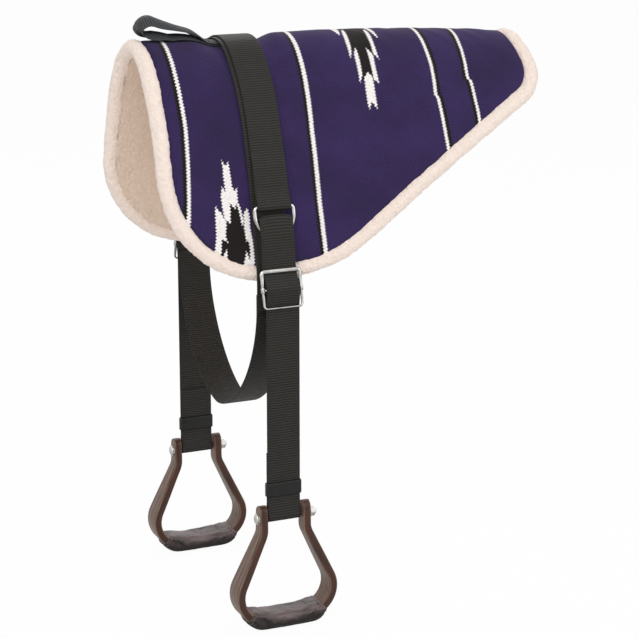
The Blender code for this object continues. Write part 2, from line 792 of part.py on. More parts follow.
def tread_cover(name, side, group):
    """A padded sleeve round the bottom of the wood, swept along it."""
    centre = corner_centre()
    half = [(x, down, (x - centre[0]) / STIRRUP_CORNER_RADIUS, (down - centre[1]) / STIRRUP_CORNER_RADIUS)
            for x, down in covered_corner()]
    half.append((0.0, half[-1][1], 0.0, 1.0))
    stations = half + [(-x, down, -a, b) for x, down, a, b in half[-2::-1]]
    half_y = TREAD_DEPTH / 2 + TREAD_COVER_GAP
    half_n = WOOD_THICKNESS / 2 + TREAD_COVER_GAP
    corner = TREAD_SECTION_CORNER
    loop = []
    for quarter, (sy, sn) in enumerate([(1, 1), (-1, 1), (-1, -1), (1, -1)]):
        middle = (sy * (half_y - corner), sn * (half_n - corner))
        loop += arc(middle, corner, quarter * math.pi / 2, (quarter + 1) * math.pi / 2, 3)
    loop.append(loop[0])
    across = side * strap_plane()

    def place(column, row):
        x, down, a, b = stations[row]
        y, n = loop[column]
        return Vector((x + a * n, across + y, BOLT_Z - down - b * n))

    mesh = grid_mesh(name, len(loop) - 1, len(stations) - 1, place, closed=True)
    made = add_object(name, mesh, group, tread_leather())
    solidify(made, TREAD_PADDING, 1)
    return made


# Bolt, nut and washers, along X through both ears

def ear_face():
    return neck_half_width() + WOOD_THICKNESS / 2 + METAL_GAP


def stirrup_bolt(name, side, group):
    """Domed head at the front, plain shank, its end just past the nut at the rear."""
    under_head = ear_face() + WASHER_THICKNESS + METAL_GAP
    end = ear_face() + WASHER_THICKNESS + NUT_HEIGHT + 2 * METAL_GAP + BOLT_END
    dome = [(HEAD_RADIUS * math.sin(a), under_head + HEAD_HEIGHT * math.cos(a))
            for a in np.linspace(0, math.pi / 2, 5)]
    profile = dome + [(BOLT_RADIUS, under_head), (BOLT_RADIUS, -end), (0, -end)]
    profile[0] = (0, profile[0][1])
    made = turned(name, profile, 14, group, chrome())
    made.rotation_euler = (0, -math.radians(90), 0)
    made.location = (0, side * strap_plane(), BOLT_Z)
    return made


def washer(name, side, end, group):
    inner = BOLT_RADIUS + BOLT_GAP
    profile = [(inner, WASHER_THICKNESS), (WASHER_RADIUS, WASHER_THICKNESS), (WASHER_RADIUS, 0), (inner, 0),
               (inner, WASHER_THICKNESS)]
    made = turned(name, profile, 14, group, chrome())
    made.rotation_euler = (0, end * math.radians(90), 0)
    made.location = (end * ear_face(), side * strap_plane(), BOLT_Z)
    return made


def stirrup_nut(name, side, group, cutters):
    made = cylinder(name, NUT_RADIUS, NUT_HEIGHT, 6, group, chrome())
    made.rotation_euler = (0, math.radians(90), 0)
    made.location = (ear_face() + WASHER_THICKNESS + METAL_GAP + NUT_HEIGHT / 2, side * strap_plane(), BOLT_Z)
    bore = cylinder(f"{name}_bore", BOLT_RADIUS + BOLT_GAP, NUT_HEIGHT + CUTTER_OVERRUN, 14, cutters, chrome())
    bore.rotation_euler = made.rotation_euler
    bore.location = made.location
    cut(made, bore)
    return made, bore


def build_side(label, side, pad, cutters):
    ring_pivot = pivot(f"{label}_ring_pivot", side_point(side, 0, ring_bar()), None, pad)
    leather_pivot = pivot(f"{label}_leather_pivot", side_point(side, 0, ring_centre()), ring_pivot, pad)
    bolt_axis = Vector((0, side * strap_plane(), BOLT_Z))
    stirrup_pivot = pivot(f"{label}_stirrup_pivot", bolt_axis, leather_pivot, pad)
    keeper_place = Vector((0, side * strap_plane(), KEEPER_Z))
    keeper_pivot = pivot(f"{label}_keeper_slide", keeper_place, leather_pivot, pad)

    hang(ring(f"{label}_ring", side, pad), ring_pivot)
    hang(leather(f"{label}_leather", side, pad), leather_pivot)
    hang(buckle_frame(f"{label}_buckle_frame", side, pad), leather_pivot)
    for piece in buckle_bar(f"{label}_buckle_bar", side, pad, cutters):
        hang(piece, leather_pivot)
    hang(keeper(f"{label}_keeper", side, pad), keeper_pivot)
    for piece in stirrup_frame(f"{label}_stirrup_frame", side, pad, cutters):
        hang(piece, stirrup_pivot)
    hang(tread_cover(f"{label}_tread_cover", side, pad), stirrup_pivot)
    hang(stirrup_bolt(f"{label}_stirrup_bolt", side, pad), stirrup_pivot)
    hang(washer(f"{label}_head_washer", side, -1, pad), stirrup_pivot)
    hang(washer(f"{label}_nut_washer", side, 1, pad), stirrup_pivot)
    for piece in stirrup_nut(f"{label}_stirrup_nut", side, pad, cutters):
        hang(piece, stirrup_pivot)


def main():
    clear_scene()
    pad = collection("bareback_pad")
    cutters = collection("cutters")

    core_base = LINING_THICKNESS + LAYER_GAP
    cover_base = core_base + CORE_THICKNESS + LAYER_GAP
    pad_layer("fleece_lining", 0.0, LINING_THICKNESS, pad, fleece())
    pad_layer("felt_core", core_base, CORE_THICKNESS, pad, felt())
    pad_layer("woven_cover", cover_base, COVER_THICKNESS, pad, woven())
    edge_roll(pad)

    girth_web(pad)
    stirrup_support_web(pad)
    front_handle(pad)
    girth_pivot = pivot("girth_pivot", Vector((GIRTH_X, 0, lap_bottom() + LAP_LENGTH / 2)), None, pad)
    hang(girth_loop(pad), girth_pivot)

    for label, side in SIDES.items():
        build_side(label, side, pad, cutters)


main()
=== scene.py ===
"""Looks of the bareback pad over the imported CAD: woven cover, fleece, ribbed webs, bent wood and metal.

Metres, in the CAD's frame: X to the tail, Y to the off side, Z up. "s" is a distance down a flank from the
crown, "lift" a height above the fleece's underside and "out" a distance from the centre plane.
"""
from math import acos, asin, atan2, ceil, copysign, cos, hypot, pi, radians, sin, sqrt, tan

import bpy
import numpy as np
from mathutils import Matrix, Vector, noise


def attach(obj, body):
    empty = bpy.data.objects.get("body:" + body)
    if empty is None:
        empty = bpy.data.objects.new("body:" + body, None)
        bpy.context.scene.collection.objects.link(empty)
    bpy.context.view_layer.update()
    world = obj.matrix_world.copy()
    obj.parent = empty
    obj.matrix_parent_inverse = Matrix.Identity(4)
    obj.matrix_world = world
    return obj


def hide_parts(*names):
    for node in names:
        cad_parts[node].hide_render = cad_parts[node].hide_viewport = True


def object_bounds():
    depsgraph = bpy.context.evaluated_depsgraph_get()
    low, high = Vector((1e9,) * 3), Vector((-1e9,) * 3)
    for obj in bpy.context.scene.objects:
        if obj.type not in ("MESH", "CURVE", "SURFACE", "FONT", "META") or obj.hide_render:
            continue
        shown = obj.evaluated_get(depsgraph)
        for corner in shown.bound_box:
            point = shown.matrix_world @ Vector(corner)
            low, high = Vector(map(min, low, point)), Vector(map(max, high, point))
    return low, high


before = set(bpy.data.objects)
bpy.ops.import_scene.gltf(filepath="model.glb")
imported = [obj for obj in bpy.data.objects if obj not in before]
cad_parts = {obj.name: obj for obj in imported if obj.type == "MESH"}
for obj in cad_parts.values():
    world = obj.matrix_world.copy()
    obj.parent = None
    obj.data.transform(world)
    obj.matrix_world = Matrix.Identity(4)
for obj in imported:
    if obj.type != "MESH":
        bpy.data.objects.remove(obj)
cad_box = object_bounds()
SIDES = {"near": -1, "off": 1}

# ---- sizes, as in the CAD

FRONT_REACH, REAR_REACH, REAR_POINT_REACH, REAR_POINT_S = 0.150, 0.447, 0.4555, 0.095
BOTTOM_REAR_REACH, FLAP_LENGTH = 0.0855, 0.353
CORNER_RADII = (0.140, 0.250, 0.052)
FLANK_ANGLE, CROWN_RUN = radians(79.5), 0.070
LINING, LAYER_GAP, PAD = 0.008, 0.0003, 0.0201
ROLL_RADIUS, REAR_DROP, DROP_START = 0.011, 0.018, 0.150
WEB_WIDTH, WEB, WEB_GAP, GIRTH_X = 0.0508, 0.0024, 0.0003, -0.006
WEB_PITCH = WEB + WEB_GAP
GIRTH_LIFT = PAD + WEB_GAP + WEB / 2
SUPPORT_LIFT = GIRTH_LIFT + WEB_PITCH
FOLD_RETURN, FOLD_TAPER = 0.055, 0.022
LAP_DROP, LAP_LENGTH, GIRTH_DEPTH, GIRTH_FULLNESS = 0.0545, 0.026, 0.173, 1.7
HANDLE_WIDTH, HANDLE, HANDLE_GAP = 0.038, 0.0022, 0.0006
HANDLE_TAIL_X, HANDLE_TACK_X, TACK_BEND = 0.018, -0.046, 0.012
NOSE_X, NOSE_Z, NOSE_RADIUS, CROWN_BRIDGE = -0.131, 0.0445, 0.0155, 0.060
RING_S, RING_WIRE, RING_BOW, RING_DROP = 0.262, 0.00275, 0.0295, 0.0115
RING_CORNER, RING_LEAN = 0.005, radians(13)
RING_LOOP = RING_WIRE + WEB_GAP + WEB / 2
EYE_ABOVE_CHORD, BUCKLE_DOWN, BUCKLE_OUT = 0.0107, 0.1159, 0.0025
SEWN_TURN, HANG_START, TAIL_LENGTH = radians(40), 0.016, 0.055
FRAME_WIDTH, FRAME_HEIGHT, FRAME_WIRE, FRAME_CORNER = 0.0618, 0.0560, 0.0020, 0.0045
BAR_RADIUS, CURL, CURL_LENGTH, METAL_GAP = 0.0020, 0.0009, 0.008, 0.0003
BOLT_Z, KEEPER_Z, KEEPER_HEIGHT, KEEPER, KEEPER_GAP = -0.645, -0.603, 0.020, 0.0018, 0.0004
EAR_DEPTH, TREAD_DEPTH, WOOD = 0.024, 0.036, 0.012
NECK_GAP, NECK_DROP, NECK_BEND = 0.0022, 0.022, 0.030
SIDE_HALF_WIDTH, SIDE_DROP, STIRRUP_CORNER = 0.0725, 0.113, 0.0397
COVER_HALF_RUN, PADDING, COVER_GAP = 0.058, 0.007, 0.0004
BOLT_RADIUS, HEAD_RADIUS, HEAD_HEIGHT, WASHER = 0.0040, 0.0076, 0.0034, 0.0014
NUT_HEIGHT, BOLT_END = 0.0062, 0.0022

# ---- sizes of the looks alone

# The stuffed pad stands proud beside the webs, over that reach from the crown, and the webs press into it
CROWN_REACH, FRONT_PROUD, REAR_PROUD, WEB_PRESS = 0.075, 0.0060, 0.0085, 0.0035
SEWN_INSET, EDGE_TUCK, FOLD_DEPTH = 0.0055, 0.0062, 0.0020
# Lumps of the roll and of the lining's pile: (noise scale, octaves, height)
ROLL_LUMPS = ((40.0, 2, 0.0010), (150.0, 3, 0.0009), (460.0, 1, 0.0006))
PILE_LUMPS = ((210.0, 2, 0.0009), (60.0, 2, 0.0009))
WEB_RIB, HANDLE_RIB, RIB_DEPTH = 0.0037, 0.0034, 0.00022
STITCH_PITCH, STITCH_LENGTH, THREAD_RADIUS = 0.0042, 0.0032, 0.00042
EYE_CROWN, HANDLE_ARCH, NOSE_SHIFT = 0.0042, 0.0045, 0.013
EAR_RISE, EAR_TRIM, WOOD_ROUNDING = 0.019, 0.002, 0.0030
SWELL_PRESSURE, SWELL_SHRINK, SWELL_REACH, SWELL_FRAMES, CREASE = 5.0, -0.04, 0.0015, 20, 0.0008

# ---- the woven pattern

# In mm: how far down the flank the pattern's field reaches, how far before X = 0 it starts, and its length
FIELD_DOWN, FIELD_FRONT, FIELD_LENGTH = 360, 160, 640
# In metres: the period of the yarn's steps along an edge, and how deep they are
YARN_PITCH, YARN_DEPTH = 0.0046, 0.0021
# Stripes down the flank: (black from, white from, white to, black to) about a middle line of (s, X) points
STRIPES = [
    ((-6.4, -0.8, 4.4, 4.4),
     [(0, -114.5), (75, -116.6), (145, -116), (202, -119.5), (240, -122.7), (340, -133)]),
    ((-6.4, -1.6, 4.6, 4.6), [(0, 79.5), (36, 78.7), (94, 76.5), (163, 73.4), (257, 73.6), (340, 77)]),
    ((-3.0, -3.0, 1.9, 7.6), [(0, 284.4), (75, 284.2), (119, 281), (123, 284), (155, 286.4), (220, 291)]),
    ((-6.4, -0.9, 3.7, 3.7), [(0, 344), (30, 342.8), (66, 340.4), (94, 337.6), (99, 341.6), (150, 345)]),
]
# Stepped motifs: each shape is rows of (s, left X, right X)
BLACKS = [
    [(0, 160, 208), (12, 165, 203), (20, 165, 201), (46, 164, 199), (58, 165, 195), (85, 167, 188),
     (91, 167, 186)],
    [(88, 166.5, 173), (96, 167.3, 167.4)],
    [(88, 180, 187), (95, 184.6, 184.7)],
    [(251.5, -60.6, -60.4), (255, -61.5, -50), (262, -61.6, -48.6), (275, -63, -47), (282, -70, -46),
     (296, -74, -43), (300, -77, -42.4), (304.5, -78.4, -39), (312, -79.4, -37.6), (345, -83, -37)],
]
WHITES = [
    [(0, 152, 163), (10, 153, 161), (18, 154.5, 158.8), (23, 156.4, 156.5)],
    [(4, 168.8, 168.9), (12, 165.3, 169), (20, 162.3, 168.2), (33, 160.2, 166.2), (46, 158.6, 164.2),
     (57, 157.5, 160.8), (63.5, 157.2, 157.3)],
    [(47, 170.6, 170.7), (51, 168.3, 171.4), (57, 165, 171.3), (71, 163.9, 170.4), (88, 162.9, 168.6),
     (94, 162.5, 165.2), (99, 162.4, 162.5)],
    [(84, 178.2, 178.3), (92, 170.6, 184.2), (110, 169, 183), (126, 168.4, 182.9), (127, 175.4, 175.5)],
    [(122, 168.5, 178), (127, 168.4, 174.6), (137, 169.8, 169.9)],
    [(122, 174, 182.9), (127, 176.4, 182.9), (137, 182.2, 182.3)],
    [(48, 187.5, 187.6), (54, 187, 191.5), (60, 186.8, 194.7), (74, 186.3, 192.9), (95, 185.3, 192.4),
     (97, 188.5, 192.5), (101, 192.7, 192.8)],
    [(8, 201.5, 202.5), (15, 199.5, 204), (22, 198.5, 204.2), (42, 197.2, 202.6), (57, 195.6, 202.2),
     (60, 198, 202.1), (67, 202.1, 202.2)],
    [(0, 206, 213), (10, 207.5, 214.5), (16, 208.5, 214.8), (26, 210.5, 214.3), (33, 213.5, 213.6)],
    [(191, -66.8, -66.7), (197, -66.9, -64.6), (202, -66.4, -61)],
    [(194, -57.8, -57.7), (198, -59.8, -57.3), (202, -62, -57.2)],
    [(199, -62.2, -62.1), (202, -66.4, -57.2), (213, -67, -56.3), (229, -66.4, -55.7), (238, -66, -51.5),
     (251, -62, -51), (256, -58, -53), (261, -54.1, -54)],
    [(231, -48.6, -48.5), (238, -53.5, -48.7), (251, -52.5, -49.2), (261, -49.3, -45.8), (270, -47.8, -44.4),
     (279, -46.9, -43.3), (285, -46, -45.9)],
    [(228, -70.5, -70.4), (236, -72.4, -66.5), (242, -73.6, -62), (255, -73, -61.3), (263, -72.5, -61.4),
     (273, -71.5, -62.4), (276, -67.5, -62.6), (281, -62.7, -62.6)],
    [(254, -82.8, -82.7), (260, -83.9, -80), (264, -84.2, -75.6), (271, -84.6, -73.2), (275.5, -84.8, -69.3),
     (283, -85, -69.3), (292, -85.4, -71.2), (299, -86, -71.4), (301, -86.3, -77.4), (306, -87.5, -78.6),
     (320, -90, -80.5), (345, -93, -84)],
    [(297, -78, -71.5), (300, -76.7, -71), (303, -73, -70.1), (307, -68.9, -68.8)],
    [(315, -71.7, -71.6), (320, -75, -71.5), (327, -80, -72), (345, -82, -72.5)],
    [(320, -43, -42.9), (330, -45.2, -40), (336, -47.6, -38), (345, -49, -35)],
    [(261, -37, -36), (268, -42, -34.6), (273, -42.4, -33.8), (287, -43.2, -34.6), (303, -42, -32.8),
     (305, -38.9, -32.2), (312, -37.6, -32), (321, -37.2, -31.6), (345, -40, -32)],
    [(301, -42.4, -39), (305, -41.8, -39.8), (308, -41.5, -41.4)],
]

# ---- node helpers


def colour(text):
    """Linear RGBA from a hex sRGB colour."""
    parts = [int(text[i:i + 2], 16) / 255 for i in (0, 2, 4)]
    return (*[p / 12.92 if p <= 0.04045 else ((p + 0.055) / 1.055) ** 2.4 for p in parts], 1.0)


def operation(kind):
    return lambda net, *values: net.math(kind, *values)


class Net:
    """A node tree with short calls. Sockets, plain numbers and hex colours mix freely."""

    def __init__(self, tree):
        self.tree = tree

    def feed(self, socket, value):
        if isinstance(value, bpy.types.NodeSocket):
            self.tree.links.new(value, socket)
        else:
            socket.default_value = colour(value) if isinstance(value, str) else value

    def node(self, kind, out=0, inputs=(), **settings):
        made = self.tree.nodes.new("ShaderNode" + kind)
        for key, value in settings.items():
            setattr(made, key, value)
        for socket, value in dict(inputs).items():
            self.feed(made.inputs[socket], value)
        return made.outputs[out]

    def math(self, kind, *values):
        return self.node("Math", inputs=enumerate(values), operation=kind)

    add, sub, mul, div = (operation(kind) for kind in ("ADD", "SUBTRACT", "MULTIPLY", "DIVIDE"))
    mul_add, size, most = (operation(kind) for kind in ("MULTIPLY_ADD", "ABSOLUTE", "MAXIMUM"))
    over, under = operation("GREATER_THAN"), operation("LESS_THAN")

    def mix(self, share, first, second):
        return self.node("Mix", 2, {0: share, 6: first, 7: second}, data_type="RGBA")

    def flat(self):
        """The piece's own flat coordinates, in metres."""
        return self.node("UVMap", uv_map="Flat")

    def object_place(self):
        return self.node("TexCoord", out="Object")

    def axes(self, vector):
        return self.node("SeparateXYZ", inputs={0: vector}).node.outputs

    def facing(self):
        """The three parts of the surface's direction."""
        return self.axes(self.node("TexCoord", out="Normal"))

    def spread(self, vector, scale):
        return self.node("VectorMath", inputs={0: vector, 1: scale}, operation="MULTIPLY")

    def noise(self, vector, scale, detail=2.0, roughness=0.5):
        """A scale of two or three numbers stretches the noise."""
        if isinstance(scale, tuple):
            vector, scale = self.spread(vector, (*scale, 1)[:3]), 1.0
        values = {"Vector": vector, "Scale": scale, "Detail": detail, "Roughness": roughness}
        return self.node("TexNoise", inputs=values)

    def ramp(self, value, low, high):
        """value taken from low..high to 0..1."""
        return self.node("MapRange", inputs={0: value, 1: low, 2: high})

    def waves(self, value, period):
        """0..1 ripples of that period."""
        return self.mul_add(self.math("SINE", self.mul(value, 2 * pi / period)), 0.5, 0.5)


class Material(Net):
    """A material's nodes around its shader, whose settings are given by name."""

    def __init__(self, name, **values):
        self.material = bpy.data.materials.new(name)
        self.material.use_nodes = True
        super().__init__(self.material.node_tree)
        self.shader = self.tree.nodes["Principled BSDF"]
        for socket, value in values.items():
            self.shader.inputs[socket.replace("_", " ")].default_value = value

    def bump(self, height, distance, strength):
        made = self.node("Bump", inputs={"Height": height, "Distance": distance, "Strength": strength})
        self.feed(self.shader.inputs["Normal"], made)

    def finish(self, base, roughness=None):
        self.feed(self.shader.inputs["Base Color"], base)
        if roughness is not None:
            self.feed(self.shader.inputs["Roughness"], roughness)
        return self.material


# ---- materials


def curve_of(net, value, points):
    """A piecewise line through (s, X) points in mm, read at value, both scaled to 0..1 over the field."""
    made = net.tree.nodes.new("ShaderNodeFloatCurve")
    line = made.mapping.curves[0]
    scaled = [(s / FIELD_DOWN, (x + FIELD_FRONT) / FIELD_LENGTH) for s, x in points]
    while len(line.points) < len(scaled):
        line.points.new(0.5, 0.5)
    for point, place in zip(line.points, scaled):
        point.location = place
        point.handle_type = "VECTOR"
    made.mapping.extend = "HORIZONTAL"
    made.mapping.update()
    net.feed(made.inputs["Value"], value)
    return made.outputs[0]


def woven():
    """Purple wool with the stripes and motifs, whose edges step and wander as woven ones do."""
    net = Material("woven_wool", Roughness=0.9, Specular_IOR_Level=0.15, Sheen_Weight=0.1,
                   Sheen_Roughness=0.5)
    flat = net.flat()
    x, y = net.axes(flat)[:2]
    along = net.size(y)
    down = net.div(along, FIELD_DOWN / 1000)
    left, right = (net.waves(net.add(along, start), YARN_PITCH) for start in (0, 0.4 * YARN_PITCH))
    wander = net.noise(flat, (60, 260), 1.0)
    shifted = net.mul_add(net.sub(wander, 0.5), 0.0012, x)
    across = net.div(net.add(shifted, FIELD_FRONT / 1000), FIELD_LENGTH / 1000)
    depth = YARN_DEPTH / (FIELD_LENGTH / 1000)
    inward = net.add(net.mul(left, -depth), net.add(across, depth / 2))
    outward = net.add(net.mul(right, depth), net.sub(across, depth / 2))

    def between(low, high):
        return net.mul(net.over(inward, low), net.under(outward, high))

    def shape(rows):
        sides = [curve_of(net, down, [(row[0], row[side]) for row in rows]) for side in (1, 2)]
        above = net.over(down, rows[0][0] / FIELD_DOWN - 0.0001)
        return net.mul(between(*sides), net.mul(above, net.under(down, rows[-1][0] / FIELD_DOWN)))

    black = white = 0.0
    for widths, middle in STRIPES:
        line = curve_of(net, down, middle)
        edges = [net.add(line, offset / FIELD_LENGTH) for offset in widths]
        black = net.most(black, between(edges[0], edges[3]))
        white = net.most(white, between(edges[1], edges[2]))
    for rows in BLACKS:
        black = net.most(black, shape(rows))
    for rows in WHITES:
        white = net.most(white, shape(rows))

    cloudy = net.ramp(net.noise(flat, (9, 14), 3.0), 0.3, 0.7)
    thread = net.mul(net.waves(y, 0.0021), net.waves(x, 0.0026))
    grain = net.mul_add(thread, 0.3, net.mul(net.noise(flat, (260, 620), 3.0, 0.6), 0.7))
    purple = net.mix(cloudy, "33274d", "3f2f63")
    purple = net.mix(net.ramp(grain, 0.32, 0.62), net.mix(0.45, purple, "1b1228"), purple)
    charcoal = net.mix(net.ramp(grain, 0.25, 0.8), "141111", "292322")
    twist = net.waves(net.mul_add(x, 0.5, y), YARN_PITCH)
    cream = net.mix(net.ramp(net.noise(flat, (260, 700)), 0.25, 0.6), "e3d9d5", "fffaf8")
    base = net.mix(white, net.mix(black, purple, charcoal), cream)
    raised_yarn = net.mul_add(white, 0.9, net.mul(grain, 0.8))
    net.bump(net.mul_add(net.mul(white, twist), 0.4, raised_yarn), 0.0006, 0.6)
    return net.finish(base)


def fleece(name, pale, deep, pitch):
    """Curls and tufts of that pitch over broader lumps."""
    net = Material(name, Roughness=0.95, Sheen_Weight=0.2, Sheen_Roughness=0.6, Specular_IOR_Level=0.1)
    place = net.object_place()
    tuft = net.noise(place, 1 / pitch, 3.0, 0.6)
    lump = net.noise(place, 0.2 / pitch)
    swirl = net.node("TexNoise", out="Color", inputs={"Vector": place, "Scale": 1 / pitch})
    swirl = net.spread(swirl, (pitch, pitch, pitch))
    bent = net.node("VectorMath", inputs={0: place, 1: swirl}, operation="ADD")
    curl = net.node("TexVoronoi", inputs={"Vector": bent, "Scale": 0.7 / pitch})
    shade = net.ramp(net.mul_add(curl, 0.25, net.mul(tuft, 0.8)), 0.30, 0.85)
    base = net.mix(net.mul(net.ramp(lump, 0.35, 0.75), 0.3), net.mix(shade, pale, deep), deep)
    net.bump(net.sub(net.mul(tuft, 1.2), curl), pitch * 0.35, 0.9)
    return net.finish(base)


def webbing(name, lit, dark, pitch):
    """Ribs across the web at that pitch, along the flat coordinate's first axis, with painted light on their
    crowns and painted shade between them.
    """
    net = Material(name, Roughness=0.6, Sheen_Weight=0.04, Sheen_Roughness=0.4, Specular_IOR_Level=0.26)
    flat = net.flat()
    x, y = net.axes(flat)[:2]
    rib = net.waves(net.mul_add(net.noise(flat, (45, 120), 1.0), 0.0022, x), pitch)
    yarn = net.waves(y, 0.0017)
    fibre = net.noise(flat, (900, 240))
    patch = net.ramp(net.noise(flat, (24, 60)), 0.3, 0.7)
    edge = net.ramp(net.size(y), 0.0208, 0.0246)
    # painted light on the ribs' crowns and painted shade in the grooves between them
    light = net.mul_add(net.mul(rib, net.mul_add(yarn, 0.3, 0.7)), 0.75, net.mul(fibre, 0.35))
    base = net.mix(net.ramp(light, 0.15, 1.05), dark, lit)
    base = net.mix(net.mul(patch, 0.18), base, "151412")
    base = net.mix(net.mul(edge, 0.35), base, "1c1b19")
    net.bump(net.mul_add(rib, 0.6, net.mul(net.add(yarn, fibre), 0.22)), 0.0006, 0.8)
    return net.finish(base)


def metal(name, shadow, dull):
    """Plated metal with painted shade and painted dark reflections underneath and on the sides that face the
    tail, dull in patches.
    """
    net = Material(name, Metallic=1.0)
    place, facing = net.object_place(), net.facing()
    cloud = net.noise(place, 90.0, 3.0)
    base = net.mix(net.ramp(cloud, 0.3, 0.75), "e2e0dc", "b1aea9")
    # painted shade and painted dark reflection: darker as the surface turns down and towards the tail
    for axis, lit, dim in ((2, 0.35, -0.75), (0, 0.25, 0.95)):
        base = net.mix(net.mul(net.ramp(facing[axis], lit, dim), shadow), base, "2c2b2a")
    net.bump(net.noise(place, (1400, 180, 180), 2.0, 0.7), 0.00006, 0.25)
    return net.finish(base, net.mul_add(cloud, 0.16, dull))


def timber():
    """Grain along the wood, with a paler, greyer painted reflection on the flat faces, so the sawn edges look
    redder and darker.
    """
    net = Material("walnut_wood", Specular_IOR_Level=0.35, Coat_Weight=0.05, Coat_Roughness=0.3)
    flat = net.flat()
    broad = net.node("Attribute", out="Fac", attribute_name="broad")
    warp = net.noise(flat, (14, 70))
    grain = net.noise(flat, (18, 380), 4.0, 0.6)
    pore = net.ramp(net.noise(flat, (160, 2600)), 0.56, 0.72)
    edge = net.mix(net.ramp(grain, 0.3, 0.7), "2a160e", "54301f")
    face = net.mix(net.ramp(grain, 0.38, 0.62), "3f2c23", "8a7060")
    face = net.mix(net.mul(net.ramp(warp, 0.45, 0.7), 0.4), face, "553829")
    # painted reflection: the flat faces take the paler, greyer colours and the edges the darker, redder ones
    base = net.mix(net.mul(pore, 0.35), net.mix(broad, edge, face), "2a1611")
    net.bump(net.mul_add(pore, -0.6, grain), 0.0003, 0.35)
    return net.finish(base, net.mul_add(grain, 0.25, 0.28))


def leather(name, pale, deep, crease):
    """Pebbled leather with painted highlight streaks along its creases, and painted shade on what faces down.
    """
    net = Material(name, Specular_IOR_Level=0.35)
    flat = net.flat()
    pebble = net.node("TexVoronoi", inputs={"Vector": flat, "Scale": 650.0})
    cloud = net.ramp(net.noise(flat, (22, 60), 3.0), 0.3, 0.7)
    fold = net.ramp(net.noise(flat, (crease, 130), 3.0, 0.55), 0.35, 0.7)
    # painted highlight: paler streaks along the creases
    base = net.mix(net.mul(fold, 0.45), net.mix(cloud, deep, pale), pale)
    # painted shade: darker on what faces down, away from the light above
    base = net.mix(net.mul(net.ramp(net.facing()[2], 0.5, -0.1), 0.95), base, deep)
    net.bump(net.mul_add(fold, 2.0, net.mul(pebble, -0.6)), 0.0005, 0.6)
    return net.finish(base, net.mul_add(fold, -0.22, 0.48))


def thread(name, tint):
    net = Material(name, Roughness=0.6)
    ply = net.noise(net.object_place(), 1400.0, 1.0)
    net.bump(ply, 0.0002, 0.5)
    return net.finish(net.mix(ply, tint, net.mix(0.4, tint, "101010")))


def materials():
    return {
        "woven": woven(),
        "roll": fleece("fleece_edge", "fff2e7", "f8e2d5", 0.0042),
        "lining": fleece("fleece_pile", "f3dfcf", "d9c0aa", 0.0030),
        "web": webbing("ribbed_web", "3c3933", "080707", WEB_RIB),
        "handle_web": webbing("handle_web", "58595d", "1c1d20", HANDLE_RIB),
        "metal": metal("nickel_plate", 0.85, 0.06),
        "bolt": metal("zinc_plate", 0.3, 0.28),
        "wood": timber(),
        "tread": leather("tread_leather", "7c6c6c", "130c0b", 16),
        "band": leather("band_leather", "1a1614", "0b0908", 60),
        "dark_thread": thread("dark_thread", "37342f"),
        "tan_thread": thread("tan_thread", "a08a72"),
    }


# ---- mesh helpers


def added(name, data):
    made = bpy.data.objects.new(name, data)
    bpy.context.scene.collection.objects.link(made)
    return made


def mesh_piece(name, arrays, material, body, slot, *replaced):
    """An object that rides on a body, from arrays of vertices, faces and their corners' flat coordinates."""
    verts, faces, corner_uv = arrays
    mesh = bpy.data.meshes.new(name)
    mesh.from_pydata(np.asarray(verts, float).tolist(), [], [[int(i) for i in face] for face in faces])
    layer = mesh.uv_layers.new(name="Flat")
    layer.data.foreach_set("uv", np.asarray(corner_uv, np.float32).ravel())
    mesh.polygons.foreach_set("use_smooth", [True] * len(mesh.polygons))
    mesh.materials.append(material)
    mesh.update()
    piece = added(name, mesh)
    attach(piece, body)
    if replaced:
        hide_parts(*replaced)
    return piece


def quads(rows, columns, around=False, along=False):
    """Vertex numbers and corner places of a grid's faces. It may close around its columns or its rows."""
    r, c = np.meshgrid(np.arange(rows if along else rows - 1), np.arange(columns if around else columns - 1),
                       indexing="ij")
    r, c = r.ravel(), c.ravel()
    corners = [(r, c), (r + 1, c), (r + 1, c + 1), (r, c + 1)]
    faces = np.stack([(a % rows) * columns + b % columns for a, b in corners], -1)
    places = np.stack([np.stack([a, b], -1) for a, b in corners], 1)
    return faces, places


def tube(points, u=None, v=None, closed=False):
    """Arrays of a swept form from (rows, columns, 3) points, closed along its line or else capped.

    u and v are the flat coordinates along and around it, each up to the place where it comes round again.
    """
    rows, columns = points.shape[:2]
    if u is None:
        u, v = np.zeros(rows), np.zeros(columns + 1)
    faces, places = quads(rows, columns, True, closed)
    faces = faces.tolist()
    uv = np.stack([u[places[..., 0]], v[places[..., 1]]], -1).reshape(-1, 2)
    if not closed:
        faces += [[*range(columns)], [(rows - 1) * columns + c for c in reversed(range(columns))]]
        uv = np.concatenate([uv, np.zeros((2 * columns, 2))])
    return points.reshape(-1, 3), faces, uv


def joined(parts):
    """One set of arrays from several."""
    verts, faces, uvs, start = [], [], [], 0
    for points, polygons, uv in parts:
        verts.append(np.asarray(points))
        faces += [[start + i for i in polygon] for polygon in polygons]
        uvs.append(uv)
        start += len(points)
    return np.concatenate(verts), faces, np.concatenate(uvs)


def unit(vectors):
    return vectors / np.maximum(np.linalg.norm(vectors, axis=-1, keepdims=True), 1e-12)


def lengths(points, closed=False):
    """Distance along a line at each point, and at its start again where it is closed."""
    ahead = np.vstack([points[1:], points[:1]]) if closed else points[1:]
    steps = np.linalg.norm(ahead - points[:len(ahead)], axis=1)
    return np.concatenate([[0], np.cumsum(steps)])


